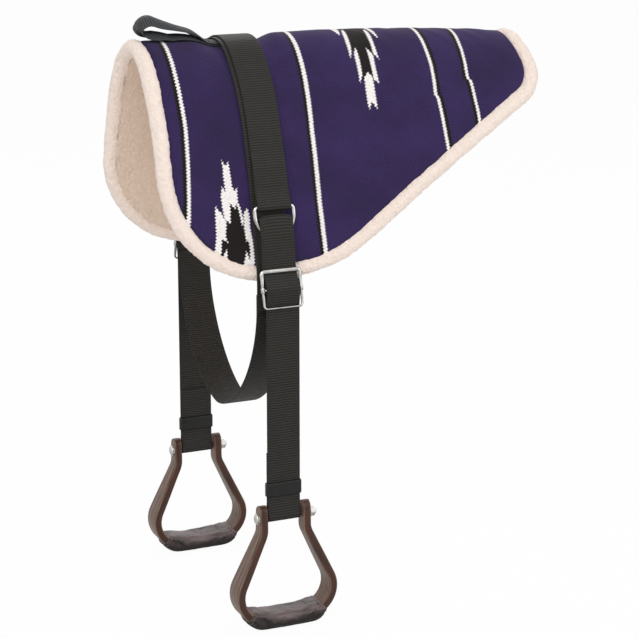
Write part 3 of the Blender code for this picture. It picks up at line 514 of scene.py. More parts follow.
def resampled(points, step, closed=False):
    """The same line with points at an even step, and its length."""
    points = np.asarray(points, float)
    run = lengths(points, closed)
    line = np.vstack([points, points[:1]]) if closed else points
    count = max(2, int(round(run[-1] / step)))
    places = np.linspace(0, run[-1], count + 1)[:count if closed else count + 1]
    return np.stack([np.interp(places, run, line[:, k]) for k in range(3)], -1), run[-1]


def tangents(points, closed=False):
    if closed:
        return unit(np.roll(points, -1, 0) - np.roll(points, 1, 0))
    return unit(np.gradient(points, axis=0))


def arc(centre, radius, start, end, steps):
    angles = np.linspace(start, end, steps + 1)
    return [(centre[0] + radius * cos(a), centre[1] + radius * sin(a)) for a in angles]


def smooth(points, steps):
    """A rounded line through points, with that many steps from each to the next."""
    padded = [points[0]] + list(points) + [points[-1]]
    curve = []
    for a, b, c, d in zip(padded, padded[1:], padded[2:], padded[3:]):
        a, b, c, d = (np.array(p, float) for p in (a, b, c, d))
        for t in np.arange(steps) / steps:
            curve.append(tuple(0.5 * (2 * b + (c - a) * t + (2 * a - 5 * b + 4 * c - d) * t ** 2
                                      + (3 * b - a - 3 * c + d) * t ** 3)))
    return curve + [tuple(points[-1])]


def rounded_loop(half_x, half_y, corner, steps):
    """A rectangle with round corners, about its middle."""
    loop = []
    for quarter, (sx, sy) in enumerate([(1, 1), (-1, 1), (-1, -1), (1, -1)]):
        centre = (sx * (half_x - corner), sy * (half_y - corner))
        loop += arc(centre, corner, quarter * pi / 2, (quarter + 1) * pi / 2, steps)
    return loop


def turns(sides):
    return np.linspace(0, 2 * pi, sides, endpoint=False)[None, :, None]


def spokes(sides, aside, up):
    """Directions round a line, from the two across it."""
    return np.cos(turns(sides)) * aside[..., None, :] + np.sin(turns(sides)) * up[..., None, :]


def wire(points, radius, normal, closed=True, sides=20, spread=0):
    """Arrays of a wire along a line in a plane with that normal. spread widens it in that plane."""
    points = np.asarray(points, float)
    ahead = tangents(points, closed)
    up = unit(np.broadcast_to(np.asarray(normal, float), ahead.shape))
    aside = unit(np.cross(ahead, up))
    wide = np.broadcast_to(radius + spread, len(points))[:, None, None]
    grid = points[:, None] + (wide * np.cos(turns(sides)) * aside[:, None]
                              + radius * np.sin(turns(sides)) * up[:, None])
    return tube(grid, lengths(points, closed), np.linspace(0, 2 * pi * radius, sides + 1), closed)


def roughness_of(points, scale, octaves=2):
    """Seeded noise at each point, about -1..1."""
    return np.array([noise.fractal(Vector(p) * scale, 0.8, 2.0, octaves) for p in points.reshape(-1, 3)]
                    ).reshape(points.shape[:-1])


def lumps(points, layers):
    return sum(roughness_of(points, scale, octaves) * height for scale, octaves, height in layers)


def eased(distance, reach):
    """0 at the edge, 1 from that distance in."""
    share = np.clip(distance / reach, 0, 1)
    return share * share * (3 - 2 * share)


# ---- pad surface


def flank_angle(s):
    return FLANK_ANGLE * (1 - np.exp(-np.abs(s) / CROWN_RUN))


ARC = np.linspace(0, FLAP_LENGTH + ROLL_RADIUS * 2, 900)
STEP = ARC[1] - ARC[0]
OUTS, DROPS = (np.concatenate([[0], np.cumsum(part(flank_angle(ARC[1:] - STEP / 2)) * STEP)])
               for part in (np.cos, np.sin))


def section(s, lift):
    """(y, z) at a distance s down the flank and a lift over the underside. Works on arrays too."""
    angle = flank_angle(s)
    rise = lift - PAD / 2
    out = np.interp(np.abs(s), ARC, OUTS) + rise * np.sin(angle)
    z = PAD / 2 - np.interp(np.abs(s), ARC, DROPS) + rise * np.cos(angle)
    return np.sign(s) * out, z


def spot(s, lift):
    """(y, z) of one point of the section, as plain numbers."""
    y, z = section(s, lift)
    return float(y), float(z)


def crown_drop(y):
    """How far the arch lies below its crown at a distance from the centre plane."""
    return np.interp(np.abs(y), OUTS, DROPS)


def pad_points(x, s, lift):
    y, z = section(s, lift)
    share = np.maximum(0.0, x - DROP_START) / (REAR_REACH - DROP_START)
    slope = 2 * REAR_DROP * share / (REAR_REACH - DROP_START)
    shift = slope * (lift - PAD / 2) * np.cos(flank_angle(s))
    return np.stack([x + shift, y, z - REAR_DROP * share ** 2], -1)


def outline(inset):
    """Half the pad's outline, (x, s) from the crown at the front to the crown at the rear."""
    corners = [Vector(p) for p in ((-FRONT_REACH, 0), (-FRONT_REACH, FLAP_LENGTH),
                                   (BOTTOM_REAR_REACH, FLAP_LENGTH), (REAR_POINT_REACH, REAR_POINT_S),
                                   (REAR_REACH, 0))]
    sides = [(a, (b - a).normalized()) for a, b in zip(corners, corners[1:])]
    moved = [(a + Vector((d.y, -d.x)) * inset, d) for a, d in sides]

    def meet(first, second):
        (p, d), (q, e) = first, second
        return p + d * ((q - p).cross(e) / d.cross(e))

    def at_crown(side):
        start, direction = side
        return start + direction * (-start.y / direction.y)

    ends = [at_crown(moved[0])] + [meet(a, b) for a, b in zip(moved, moved[1:])] + [at_crown(moved[-1])]
    line = [ends[0]]
    for before, corner, after, radius, count in zip(ends, ends[1:], ends[2:], CORNER_RADII, (24, 18, 10)):
        back, ahead = (before - corner).normalized(), (after - corner).normalized()
        half = back.angle(ahead) / 2
        radius -= inset
        reach = radius / tan(half)
        centre = corner + (back + ahead).normalized() * (radius / sin(half))
        first, last = corner + back * reach - centre, corner + ahead * reach - centre
        turn = first.angle_signed(last)
        line += [centre + Matrix.Rotation(-turn * i / count, 2) @ first for i in range(count + 1)]
    (far, run), near = line[-1], ends[-1].x
    line += [Vector((near + (far - near) * share ** 1.6, run * share)) for share in (0.8, 0.6, 0.4, 0.2)]
    return np.array([tuple(p) for p in line + [Vector((near, 0))]])


def pad_grid(inset, columns, rows):
    """x and s of a grid over the pad, finer towards its edges, and how far in from the edge each point is."""
    half = outline(inset)
    bottom = half[:, 1].max()
    level = np.flatnonzero(half[:, 1] > bottom - 1e-6)
    front, rear = half[:level[0] + 1], half[level[-1]:][::-1]
    s = np.sin(np.linspace(-1, 1, rows) * pi / 2 * 0.86) / sin(pi / 2 * 0.86) * bottom
    first, last = (np.interp(np.abs(s), edge[:, 1], edge[:, 0])[:, None] for edge in (front, rear))
    share = np.sin((np.linspace(0, 1, columns) - 0.5) * pi * 0.9) / sin(pi * 0.45) / 2 + 0.5
    x = first + (last - first) * share[None]
    s = np.repeat(s[:, None], columns, 1)
    inner = np.minimum(np.minimum(x - first, last - x), bottom - np.abs(s))
    return x, s, inner


def closed_pad(x, s, top, bottom):
    """Arrays of a closed pad between two surfaces on one grid."""
    rows, columns = x.shape
    faces, places = quads(rows, columns)
    flat = np.stack([x[places[..., 0], places[..., 1]], s[places[..., 0], places[..., 1]]], -1)
    count = rows * columns
    rim = ([(0, c) for c in range(columns)] + [(r, columns - 1) for r in range(1, rows)]
           + [(rows - 1, c) for c in range(columns - 2, -1, -1)] + [(r, 0) for r in range(rows - 2, 0, -1)])
    numbers = np.array([r * columns + c for r, c in rim])
    ahead = np.roll(numbers, -1)
    sides = np.stack([numbers, ahead, ahead + count, numbers + count], -1)
    side_flat = np.stack([x.ravel()[sides % count], s.ravel()[sides % count]], -1)
    verts = np.concatenate([top.reshape(-1, 3), bottom.reshape(-1, 3)])
    all_faces = np.concatenate([faces[:, ::-1], faces + count, sides])
    all_flat = np.concatenate([flat[:, ::-1], flat, side_flat]).reshape(-1, 2)
    return verts, all_faces, all_flat


def beside_webs(x, reach):
    """0 under the webs, 1 from that distance beside them."""
    return eased(np.maximum(np.abs(x + 0.003) - 0.030, 0), reach)


def settled(x, s):
    """How far the stuffed pad and what lies on it move: pressed down by the webs, proud beside them."""
    proud = np.where(x < 0, FRONT_PROUD, REAR_PROUD + 0.002 * eased(x - 0.25, 0.15))
    return np.exp(-(s / CROWN_REACH) ** 2) * (beside_webs(x, 0.040) * (proud + WEB_PRESS) - WEB_PRESS)


def soft_points(x, s, lift):
    points = pad_points(x, s, lift)
    points[..., 2] += settled(x, s)
    return points


def blanket(kit):
    """The woven cover over its felt, sewn into the edge roll, with the soft hollows of a stuffed pad."""
    x, s, inner = pad_grid(SEWN_INSET, 190, 300)

    def hollows(points, scale):
        return 0.5 + 0.5 * roughness_of(points, scale)

    level = np.zeros_like(x)
    spots = np.stack([x, s, level], -1)
    slant = np.stack([(x + s) * 30, (x - s) * 7, level], -1)
    sag = hollows(spots, 11.0) * 0.0011 + hollows(spots, 34.0) * 0.0004
    sag += hollows(slant, 1.0) * FOLD_DEPTH * (0.35 + 0.65 * eased(x - 0.10, 0.15))
    covered = 1 - beside_webs(x, 0.02)
    tuck = (1 - eased(inner, 0.010)) * EDGE_TUCK
    top = soft_points(x, s, PAD - sag * (1 - covered * 0.8) - 0.0004 * covered - tuck)
    bottom = soft_points(x, s, np.full_like(x, LINING + LAYER_GAP))
    piece = mesh_piece("pad_blanket", closed_pad(x, s, top, bottom), kit["woven"], "pad", "woven_wool",
                       "woven_cover", "felt_core")


def lining(kit):
    """The fleece under the pad, a short curly pile."""
    x, s, inner = pad_grid(SEWN_INSET, 180, 230)
    spots = np.stack([x, s, np.full_like(x, 0.3)], -1)
    bottom = soft_points(x, s, 0.0002 + lumps(spots, PILE_LUMPS))
    top = soft_points(x, s, np.full_like(x, LINING))
    piece = mesh_piece("pad_fleece_lining", closed_pad(x, s, top, bottom), kit["lining"], "pad", "fleece",
                       "fleece_lining")


def edge_roll(kit):
    """The fleece roll round the pad: a lumpy, curly tube."""
    half = outline(0)
    loop = np.vstack([half, half[-2:0:-1] * (1, -1)])
    loop = resampled(np.column_stack([loop, np.zeros(len(loop))]), 0.0017, True)[0]
    s = loop[:, 1]
    line = soft_points(loop[:, 0], s, np.full(len(loop), PAD / 2))
    angle = flank_angle(s)
    up = np.stack([np.zeros_like(s), np.sign(s) * np.sin(angle), np.cos(angle)], -1)
    ahead = tangents(line, True)
    aside = unit(np.cross(ahead, up))
    sides = 34
    spoke = spokes(sides, aside, unit(np.cross(aside, ahead)))
    fullness = ROLL_RADIUS + 0.0002 + 0.0016 * eased(loop[:, 0] - 0.02, 0.10)
    height = fullness[:, None] + lumps(line[:, None] + spoke * ROLL_RADIUS, ROLL_LUMPS)
    arrays = tube(line[:, None] + spoke * height[..., None], lengths(line, True),
                  np.linspace(0, 2 * pi * ROLL_RADIUS, sides + 1), True)
    piece = mesh_piece("pad_fleece_roll", arrays, kit["roll"], "pad", "fleece", "fleece_edge_roll")


# ---- webs


def web(line, width, thickness, pitch, bow=None):
    """Arrays of a ribbed web along a centre line. width is a vector across it, and bow moves its points."""
    centre, length = resampled(line, pitch / 4)
    across = np.array(Vector(width).normalized())
    half = Vector(width).length / 2
    normal = unit(np.cross(tangents(centre), across))
    run = np.linspace(0, length, len(centre))
    flat_half = half - thickness / 2
    crossing = np.linspace(-flat_half, flat_half, 11)
    cap = np.linspace(pi / 2, -pi / 2, 5)[1:-1]
    loop = ([(v, 1.0, 1.0) for v in crossing]
            + [(flat_half + thickness / 2 * cos(a), sin(a), 0.5) for a in cap]
            + [(v, -1.0, 1.0) for v in crossing[::-1]]
            + [(-flat_half - thickness / 2 * cos(a), -sin(a), 0.5) for a in cap])
    v, side, share = (np.array(k) for k in zip(*loop))
    rib = 0.5 + 0.5 * np.cos(2 * pi * run / pitch)
    depth = thickness / 2 - RIB_DEPTH * rib[:, None] * share[None]
    depth = depth * (1 - 0.12 * (np.abs(v) / half)[None] ** 6)
    ripple = 1 + 0.010 * rib[:, None] * (np.abs(v)[None] > flat_half * 0.99)
    grid = (centre[:, None] + across * (v[None] * ripple)[..., None]
            + normal[:, None] * (side[None] * depth)[..., None])
    return tube(grid if bow is None else bow(grid), run, np.append(v, v[0]))


def wide_web(line, bow=None):
    return web(line, (WEB_WIDTH, 0, 0), WEB, WEB_RIB, bow)


def stitches(rows, radius=THREAD_RADIUS, long=STITCH_LENGTH):
    """Arrays of short raised stitches. rows are (place, direction, outward normal)."""
    steps = np.linspace(-1, 1, 5)[:, None]
    parts = []
    for row in rows:
        place, direction, normal = (np.array(p, float) for p in row)
        line = place + direction * steps * long / 2 + normal * (1 - steps ** 2) * radius
        parts.append(tube(line[:, None] + radius * spokes(6, unit(np.cross(direction, normal)), normal)))
    return joined(parts)


def row_stitch(start, end, normal):
    """Places of a row of stitches."""
    start, end = np.array(start, float), np.array(end, float)
    count = max(1, int(np.linalg.norm(end - start) / STITCH_PITCH))
    return [(start + (end - start) * (i + 0.5) / count, unit(end - start), normal) for i in range(count)]


def box_stitch(centre, along, across, normal, length, width):
    """Places of a stitched box with a cross in it, on a flat piece of web."""
    centre, along, across = (np.array(p, float) for p in (centre, along, across))
    corners = [centre + along * a * length / 2 + across * b * width / 2
               for a, b in ((-1, -1), (-1, 1), (1, 1), (1, -1))]
    return [stitch for a, b in ((0, 1), (1, 2), (2, 3), (3, 0), (0, 2), (1, 3))
            for stitch in row_stitch(corners[a], corners[b], normal)]


def bridge(s):
    """How far the handle's layers lift the webs, fading out down the flank."""
    flat = HANDLE_WIDTH / 2 + WEB
    fade = np.clip((CROWN_BRIDGE - np.abs(s)) / (CROWN_BRIDGE - flat), 0, 1)
    return (2 * HANDLE + 3 * HANDLE_GAP - WEB_GAP) * fade


def cross_line(pairs, x):
    """A line from the near end over the crown to the off end, from (out, z) pairs of one half."""
    near = [(-out, z) for out, z in pairs[:0:-1]]
    return [(x, out, z) for out, z in near + list(pairs)]


def raised(grid, rise):
    return grid + np.stack([np.zeros_like(rise), np.zeros_like(rise), rise], -1)


def pressed(grid):
    """The webs settle with the pad, by the place on the flank that each point lies over."""
    s = np.interp(np.abs(grid[..., 1]), OUTS, ARC)
    return raised(grid, np.where(grid[..., 2] > -0.25, settled(np.zeros_like(s), s), 0))


def flap_end():
    return spot(FLAP_LENGTH, PAD / 2)


def girth_edge():
    return flap_end()[0] + ROLL_RADIUS + WEB_GAP + WEB / 2


def lap_bottom():
    return flap_end()[1] - LAP_DROP


def girth(kit):
    """The web sewn over the crown and down the flanks, and the loop that hangs from its laps."""
    half = [spot(s, GIRTH_LIFT + bridge(s)) for s in np.linspace(0, FLAP_LENGTH - 3 * ROLL_RADIUS, 90)]
    half += arc(flap_end(), ROLL_RADIUS + WEB_GAP + WEB / 2, pi / 2 - FLANK_ANGLE, 0, 6)
    half.append((girth_edge(), lap_bottom()))
    mesh_piece("girth_web_strap", wide_web(cross_line(half, GIRTH_X), pressed), kit["web"], "pad", "webbing",
               "girth_web")
    half_width = girth_edge() - WEB_PITCH
    low = [(half_width * (1 - share ** GIRTH_FULLNESS) ** (1 / GIRTH_FULLNESS),
            lap_bottom() - GIRTH_DEPTH * share) for share in np.sin(np.linspace(1, 0, 60) * pi / 2)]
    low.append((half_width, lap_bottom() + LAP_LENGTH))
    mesh_piece("girth_loop_strap", wide_web(cross_line(low, GIRTH_X)), kit["web"], "girth", "webbing",
               "girth_loop")
    rows = []
    for side in SIDES.values():
        middle = (GIRTH_X, side * (girth_edge() + WEB / 2), lap_bottom() + LAP_LENGTH / 2)
        rows += box_stitch(middle, (0, 0, 1), (1, 0, 0), (0, side, 0), LAP_LENGTH - 0.008, WEB_WIDTH - 0.010)
    mesh_piece("girth_stitching", stitches(rows), kit["dark_thread"], "pad", "webbing")


def ring_bar():
    return spot(RING_S, SUPPORT_LIFT + RING_LOOP)


def support(kit):
    """The web over the girth's, folded round a ring at each end, with two rows of stitches above the fold."""
    fold_start = RING_S - FOLD_RETURN
    half = []
    for s in np.linspace(0, RING_S - FOLD_TAPER, 90):
        step = min(1.0, max(0.0, (s - fold_start + FOLD_TAPER) / FOLD_TAPER))
        half.append(spot(s, SUPPORT_LIFT + bridge(s) + WEB_PITCH * step))
    normal = pi / 2 - float(flank_angle(RING_S))
    half += arc(ring_bar(), RING_LOOP, normal, normal - pi, 14)
    half += [spot(s, SUPPORT_LIFT) for s in np.linspace(RING_S - FOLD_TAPER / 2, fold_start, 12)]
    mesh_piece("stirrup_support_strap", wide_web(cross_line(half, 0), pressed), kit["web"], "pad", "webbing",
               "stirrup_support_web")
    rows = []
    for side in SIDES.values():
        for s in (RING_S - 0.030, RING_S - 0.024):
            out, z = section(s, SUPPORT_LIFT + WEB_PITCH + WEB / 2 - 0.0001)
            angle = float(flank_angle(s))
            facing = (0, side * sin(angle), cos(angle))
            rows += row_stitch((-0.021, side * out, z), (0.021, side * out, z), facing)
    mesh_piece("support_stitching", stitches(rows), kit["dark_thread"], "pad", "webbing")


def handle(kit):
    """The web handle: a flat tail under the webs, a round nose and an upper strand tacked back down."""
    low = PAD + HANDLE_GAP + HANDLE / 2
    high = low + HANDLE + HANDLE_GAP
    nose = (NOSE_X, NOSE_Z)
    tack = (HANDLE_TACK_X - TACK_BEND, high + TACK_BEND / 4)
    rise = atan2(nose[1] + NOSE_RADIUS - tack[1], tack[0] - nose[0])
    line = [(HANDLE_TAIL_X, low), (HANDLE_TACK_X, low), (nose[0] + NOSE_RADIUS * 2, low)]
    line += arc(nose, NOSE_RADIUS, -pi * 0.42, -pi * 2 + pi / 2 - rise, 24)
    line += smooth([line[-1], tack, (HANDLE_TACK_X + TACK_BEND, high), (HANDLE_TAIL_X, high)], 14)[1:]
    line = resampled([(x, 0, z) for x, z in line], 0.0005)[0]
    height = eased(line[:, 2] - high, nose[1] + NOSE_RADIUS - high)
    arch = HANDLE_ARCH * eased(HANDLE_TACK_X - line[:, 0], 0.045) * (1 - eased(line[:, 2] - low, 0.020))
    line[:, 2] += settled(line[:, 0], 0) * (1 - height) + arch

    def bow(grid):
        """Lies over the pad's crown, and bows more where it stands free as a grip."""
        x, y = grid[..., 0], grid[..., 1]
        loose = eased(grid[..., 2] - low - 0.002, 0.022)
        share = np.maximum(np.clip((x - NOSE_X) / (HANDLE_TACK_X - NOSE_X), 0, 1), 1 - loose)
        tip = loose * (1 - eased(x - NOSE_X, 0.055))
        free = eased(HANDLE_TACK_X - 0.004 - x, 0.03) * (0.0035 + 0.0095 * tip)
        grid = raised(grid, -share * crown_drop(y) - free * (2 * y / HANDLE_WIDTH) ** 2)
        low_front = (1 - eased(grid[..., 2] - low, 0.022)) * (1 - eased(x - NOSE_X, 0.035))
        grid[..., 0] += NOSE_SHIFT * low_front
        return grid

    arrays = web(line, (0, HANDLE_WIDTH, 0), HANDLE, HANDLE_RIB, bow)
    mesh_piece("handle_strap", arrays, kit["handle_web"], "pad", "webbing", "front_handle")
    rows = []
    for x in (HANDLE_TACK_X + 0.004, HANDLE_TACK_X + 0.009):
        z = high + HANDLE / 2 + float(settled(x, 0))
        for side in SIDES.values():
            rows += row_stitch((x, 0, z), (x, side * 0.015, z - float(crown_drop(0.015))), (0, 0, 1))
    mesh_piece("handle_stitching", stitches(rows), kit["dark_thread"], "pad", "webbing")


# ---- pieces that hang at each side


def leaning(down, out):
    """(out, z) at a distance down from the ring's bar along the ring's lean, and out from that plane."""
    bar_out, bar_z = ring_bar()
    return (bar_out + down * sin(RING_LEAN) + out * cos(RING_LEAN),
            bar_z - down * cos(RING_LEAN) + out * sin(RING_LEAN))


def low_bar():
    return leaning(BUCKLE_DOWN + FRAME_HEIGHT / 2 - FRAME_WIRE, BUCKLE_OUT)


def bar_clearance():
    return FRAME_WIRE + WEB_GAP + WEB / 2


def strap_plane():
    return low_bar()[0] - bar_clearance() - WEB_PITCH / 2


def belt(discs, start):
    """A line pulled taut round discs, (centre, radius) each. A radius below zero turns the other way."""
    spokes_at = [start]
    for (centre, radius), (ahead, ahead_radius) in zip(discs, discs[1:]):
        reach = Vector(ahead) - Vector(centre)
        spokes_at.append(atan2(reach.y, reach.x) - acos((radius - ahead_radius) / reach.length))
    line = []
    for (centre, radius), arrive, leave in zip(discs, spokes_at, spokes_at[1:] + spokes_at[-1:]):
        turn = (leave - arrive + pi) % (2 * pi) - pi
        if turn * radius < 0 and abs(turn) > pi / 2:
            turn += copysign(2 * pi, radius)
        steps = max(1, ceil(abs(turn) / radians(7)))
        line += arc(centre, radius, arrive, arrive + turn, steps) if radius else [tuple(centre)]
    return line


def strap_line():
    """The strap's way: buckle bar, ring, down through the buckle, round the bolt and back up behind."""
    hook = BAR_RADIUS + METAL_GAP + WEB / 2
    clear = bar_clearance()
    bar = leaning(BUCKLE_DOWN, BUCKLE_OUT)
    top_bar = leaning(BUCKLE_DOWN - FRAME_HEIGHT / 2 + FRAME_WIRE, BUCKLE_OUT)
    chord = RING_DROP + sqrt(RING_BOW ** 2 - (WEB_WIDTH / 2) ** 2)
    eye = leaning(chord - EYE_ABOVE_CHORD + RING_LOOP, 0)
    bow = leaning(RING_DROP + RING_BOW, 0)
    middle = strap_plane()
    front, back = middle + WEB_PITCH / 2, middle - WEB_PITCH / 2
    grip = KEEPER_Z - KEEPER_HEIGHT
    loop = BOLT_RADIUS + WEB_GAP + WEB / 2
    discs = [(bar, -hook), (top_bar, -clear - WEB_PITCH), (bow, -RING_LOOP), (eye, -RING_LOOP),
             (bow, -RING_LOOP), (top_bar, clear), (bar, -hook - WEB_PITCH), (low_bar(), clear),
             ((front, low_bar()[1] - HANG_START), 0), ((front, grip), 0), ((middle, BOLT_Z), -loop),
             ((back, grip), 0), ((back, KEEPER_Z + TAIL_LENGTH), 0)]
    return belt(discs, SEWN_TURN + pi)


def metalwork(kit, label, side):
    """The ring, the buckle's frame and its centre bar with a curl at each end."""
    facing = np.array((0, side * cos(RING_LEAN), sin(RING_LEAN)))

    def lifted(pairs, down=BUCKLE_DOWN, out=BUCKLE_OUT):
        spots = [(x, *leaning(down + d, out)) for x, d in pairs]
        return [(x, side * y, z) for x, y, z in spots]

    inner = RING_BOW - RING_CORNER
    dee = arc((-inner, RING_CORNER), RING_CORNER, pi, pi * 1.5, 10)
    dee += arc((inner, RING_CORNER), RING_CORNER, pi * 1.5, pi * 2, 10)
    dee += arc((0, RING_DROP), RING_BOW, 0, pi, 48)
    mesh_piece(f"{label}_dee_ring", wire(lifted(dee, 0, 0), RING_WIRE, facing), kit["metal"], f"{label}_dee",
               "chrome", f"{label}_ring")
    reach = FRAME_WIDTH / 2 - FRAME_WIRE
    loop = np.array(rounded_loop(reach, FRAME_HEIGHT / 2 - FRAME_WIRE, FRAME_CORNER, 10))
    heavy = 0.0009 * eased(-loop[:, 1] - 0.012, 0.010) - 0.0006 * eased(loop[:, 1] - 0.016, 0.008)
    mesh_piece(f"{label}_buckle_loop", wire(lifted(loop), FRAME_WIRE, facing, spread=heavy), kit["metal"],
               f"{label}_strap", "chrome", f"{label}_buckle_frame")
    bar = [(x, 0) for x in np.linspace(-reach + FRAME_WIRE, reach - FRAME_WIRE, 9)]
    parts = [wire(lifted(bar), BAR_RADIUS, facing, closed=False)]
    run = np.linspace(-CURL_LENGTH / 2, CURL_LENGTH / 2, 9)
    radii = FRAME_WIRE + METAL_GAP + CURL - 0.0006 * (np.abs(run) / (CURL_LENGTH / 2)) ** 6
    for end in (-1, 1):
        line = np.array(lifted([(end * reach, d) for d in run]))
        aside = unit(np.cross(tangents(line), facing))
        parts.append(tube(line[:, None] + radii[:, None, None] * spokes(20, aside, facing)))
    mesh_piece(f"{label}_buckle_crossbar", joined(parts), kit["metal"], f"{label}_strap", "chrome",
               f"{label}_buckle_bar")


def strap(kit, label, side):
    """The strap, whose eye is crowned: its middle reaches up towards the fold and its edges fall away."""
    line = [(0, side * out, z) for out, z in strap_line()]
    up = np.array((0, -side * sin(RING_LEAN), cos(RING_LEAN)))

    def crowned(grid):
        down = (ring_bar()[1] - grid[..., 2]) / cos(RING_LEAN)
        amount = EYE_CROWN * (1 - (2 * grid[..., 0] / WEB_WIDTH) ** 4)
        return grid + up * (amount * (1 - eased(down - 0.014, 0.030)))[..., None]

    mesh_piece(f"{label}_stirrup_strap", wide_web(line, crowned), kit["web"], f"{label}_strap", "webbing",
               f"{label}_leather")


def keeper(kit, label, side):
    """The band round both layers of the strap, a little pillowed."""
    loop = np.array(rounded_loop(WEB_WIDTH / 2 + KEEPER_GAP + KEEPER / 2,
                                 WEB_PITCH / 2 + WEB / 2 + KEEPER_GAP + KEEPER / 2, 0.0024, 6))
    normals = unit(np.stack([np.roll(loop[:, 1], -1) - np.roll(loop[:, 1], 1),
                             np.roll(loop[:, 0], 1) - np.roll(loop[:, 0], -1)], -1))
    # The band's section: (share of its height, share of half its thickness)
    edge = [(-0.5, -1), (-0.5, 0.2), (-0.46, 0.75), (-0.38, 1), (-0.2, 1), (0, 0.94), (0.2, 1), (0.38, 1),
            (0.46, 0.75), (0.5, 0.2), (0.5, -1), (0, -1)]
    grid = np.array([[(x + nx * KEEPER / 2 * k, side * strap_plane() + y + ny * KEEPER / 2 * k,
                       KEEPER_Z + h * KEEPER_HEIGHT) for h, k in edge]
                     for (x, y), (nx, ny) in zip(loop, normals)])
    heights = np.array([h for h, k in edge] + [-0.5]) * KEEPER_HEIGHT
    mesh_piece(f"{label}_keeper_band", tube(grid, lengths(loop, True), heights, True), kit["band"],
               f"{label}_band", "webbing", f"{label}_keeper")


def neck_half_width():
    return WEB_WIDTH / 2 + NECK_GAP + WOOD / 2


def corner_centre():
    return SIDE_HALF_WIDTH - STIRRUP_CORNER, SIDE_DROP


def wood_half():
    """The bent wood's centre line, (x, down) from the top of an ear to the middle of the tread."""
    neck, centre = (neck_half_width(), NECK_DROP), corner_centre()
    away = hypot(neck[0] - centre[0], neck[1] - centre[1])
    lean = asin(STIRRUP_CORNER / away) - atan2(neck[0] - centre[0], SIDE_DROP - NECK_DROP)
    ear = [(neck[0], -EAR_RISE * cos(a)) for a in np.linspace(0, pi / 2, 14)[1:]]
    reach = NECK_BEND * tan(lean / 2)
    bend = arc((neck[0] + NECK_BEND, neck[1] - reach), NECK_BEND, pi, pi - lean, 8)
    start, low = bend[-1], arc(centre, STIRRUP_CORNER, -lean, pi / 2, 34)
    straight = [(start[0] + (low[0][0] - start[0]) * t, start[1] + (low[0][1] - start[1]) * t)
                for t in np.linspace(0, 1, 14)[1:-1]]
    floor = [(low[-1][0] * t, low[-1][1]) for t in np.linspace(1, 0, 9)[1:]]
    return ear + bend + straight + low + floor


def wood_depth(down):
    """The wood's depth fore and aft of its plane: round at the ears' tops, then growing down to the tread."""
    ear = EAR_DEPTH - EAR_TRIM
    if down < 0:
        return ear * sqrt(max(0.004, 1 - (down / EAR_RISE) ** 4))
    return ear + (TREAD_DEPTH - ear) * float(eased(down, SIDE_DROP))


def stirrup(kit, label, side):
    """A strip of bent wood with softened edges."""
    half = wood_half()
    line = np.array(half + [(-x, d) for x, d in half[-2::-1]])
    ahead = tangents(line)
    grid, broad = [], []
    for (x, down), (nx, nd) in zip(line, np.stack([-ahead[:, 1], ahead[:, 0]], -1)):
        depth = wood_depth(down)
        loop = rounded_loop(depth / 2, WOOD / 2, min(WOOD_ROUNDING, depth * 0.45), 5)
        grid.append([(x + nx * n, side * strap_plane() + y, BOLT_Z - down - nd * n) for y, n in loop])
        # marks the flat faces, which the wood's material gives a painted reflection
        broad.append([eased(abs(n) - WOOD / 2 + 0.0026, 0.0022) for y, n in loop])
    girths = lengths(np.array(rounded_loop(TREAD_DEPTH / 2, WOOD / 2, WOOD_ROUNDING, 5)), True)
    piece = mesh_piece(f"{label}_bent_stirrup", tube(np.array(grid), lengths(line), girths), kit["wood"],
                       f"{label}_stirrup", "walnut_wood", f"{label}_stirrup_frame")
    layer = piece.data.attributes.new("broad", "FLOAT", "POINT")
    layer.data.foreach_set("value", np.array(broad, np.float32).ravel())


def corners_of(piece):
    points = np.empty(len(piece.data.vertices) * 3, np.float32)
    piece.data.vertices.foreach_get("co", points)
    return points.reshape(-1, 3).astype(float)


def move_corners(piece, points):
    piece.data.vertices.foreach_set("co", np.asarray(points, np.float32).ravel())
    piece.data.update()


def puffed(piece, held):
    """Lets a piece swell as cloth with the held corners still, no corner going further than SWELL_REACH."""
    start = corners_of(piece)
    group = piece.vertex_groups.new(name="held")
    group.add([int(i) for i in held], 1.0, "REPLACE")
    cloth = piece.modifiers.new("Cloth", "CLOTH")
    for key, value in (("vertex_group_mass", "held"), ("use_pressure", True),
                       ("uniform_pressure_force", SWELL_PRESSURE), ("shrink_min", SWELL_SHRINK)):
        setattr(cloth.settings, key, value)
    cloth.settings.effector_weights.gravity = 0
    cloth.collision_settings.use_collision = False
    cloth.point_cache.frame_start, cloth.point_cache.frame_end = 1, SWELL_FRAMES
    scene = bpy.context.scene
    for moment in range(1, SWELL_FRAMES + 1):
        scene.frame_set(moment)
    swollen = corners_of(piece.evaluated_get(bpy.context.evaluated_depsgraph_get()))
    piece.modifiers.remove(cloth)
    piece.vertex_groups.remove(group)
    scene.frame_set(1)
    move = swollen - start
    far = np.linalg.norm(move, axis=1, keepdims=True)
    move_corners(piece, start + move * np.minimum(1, SWELL_REACH / np.maximum(far, 1e-9)))


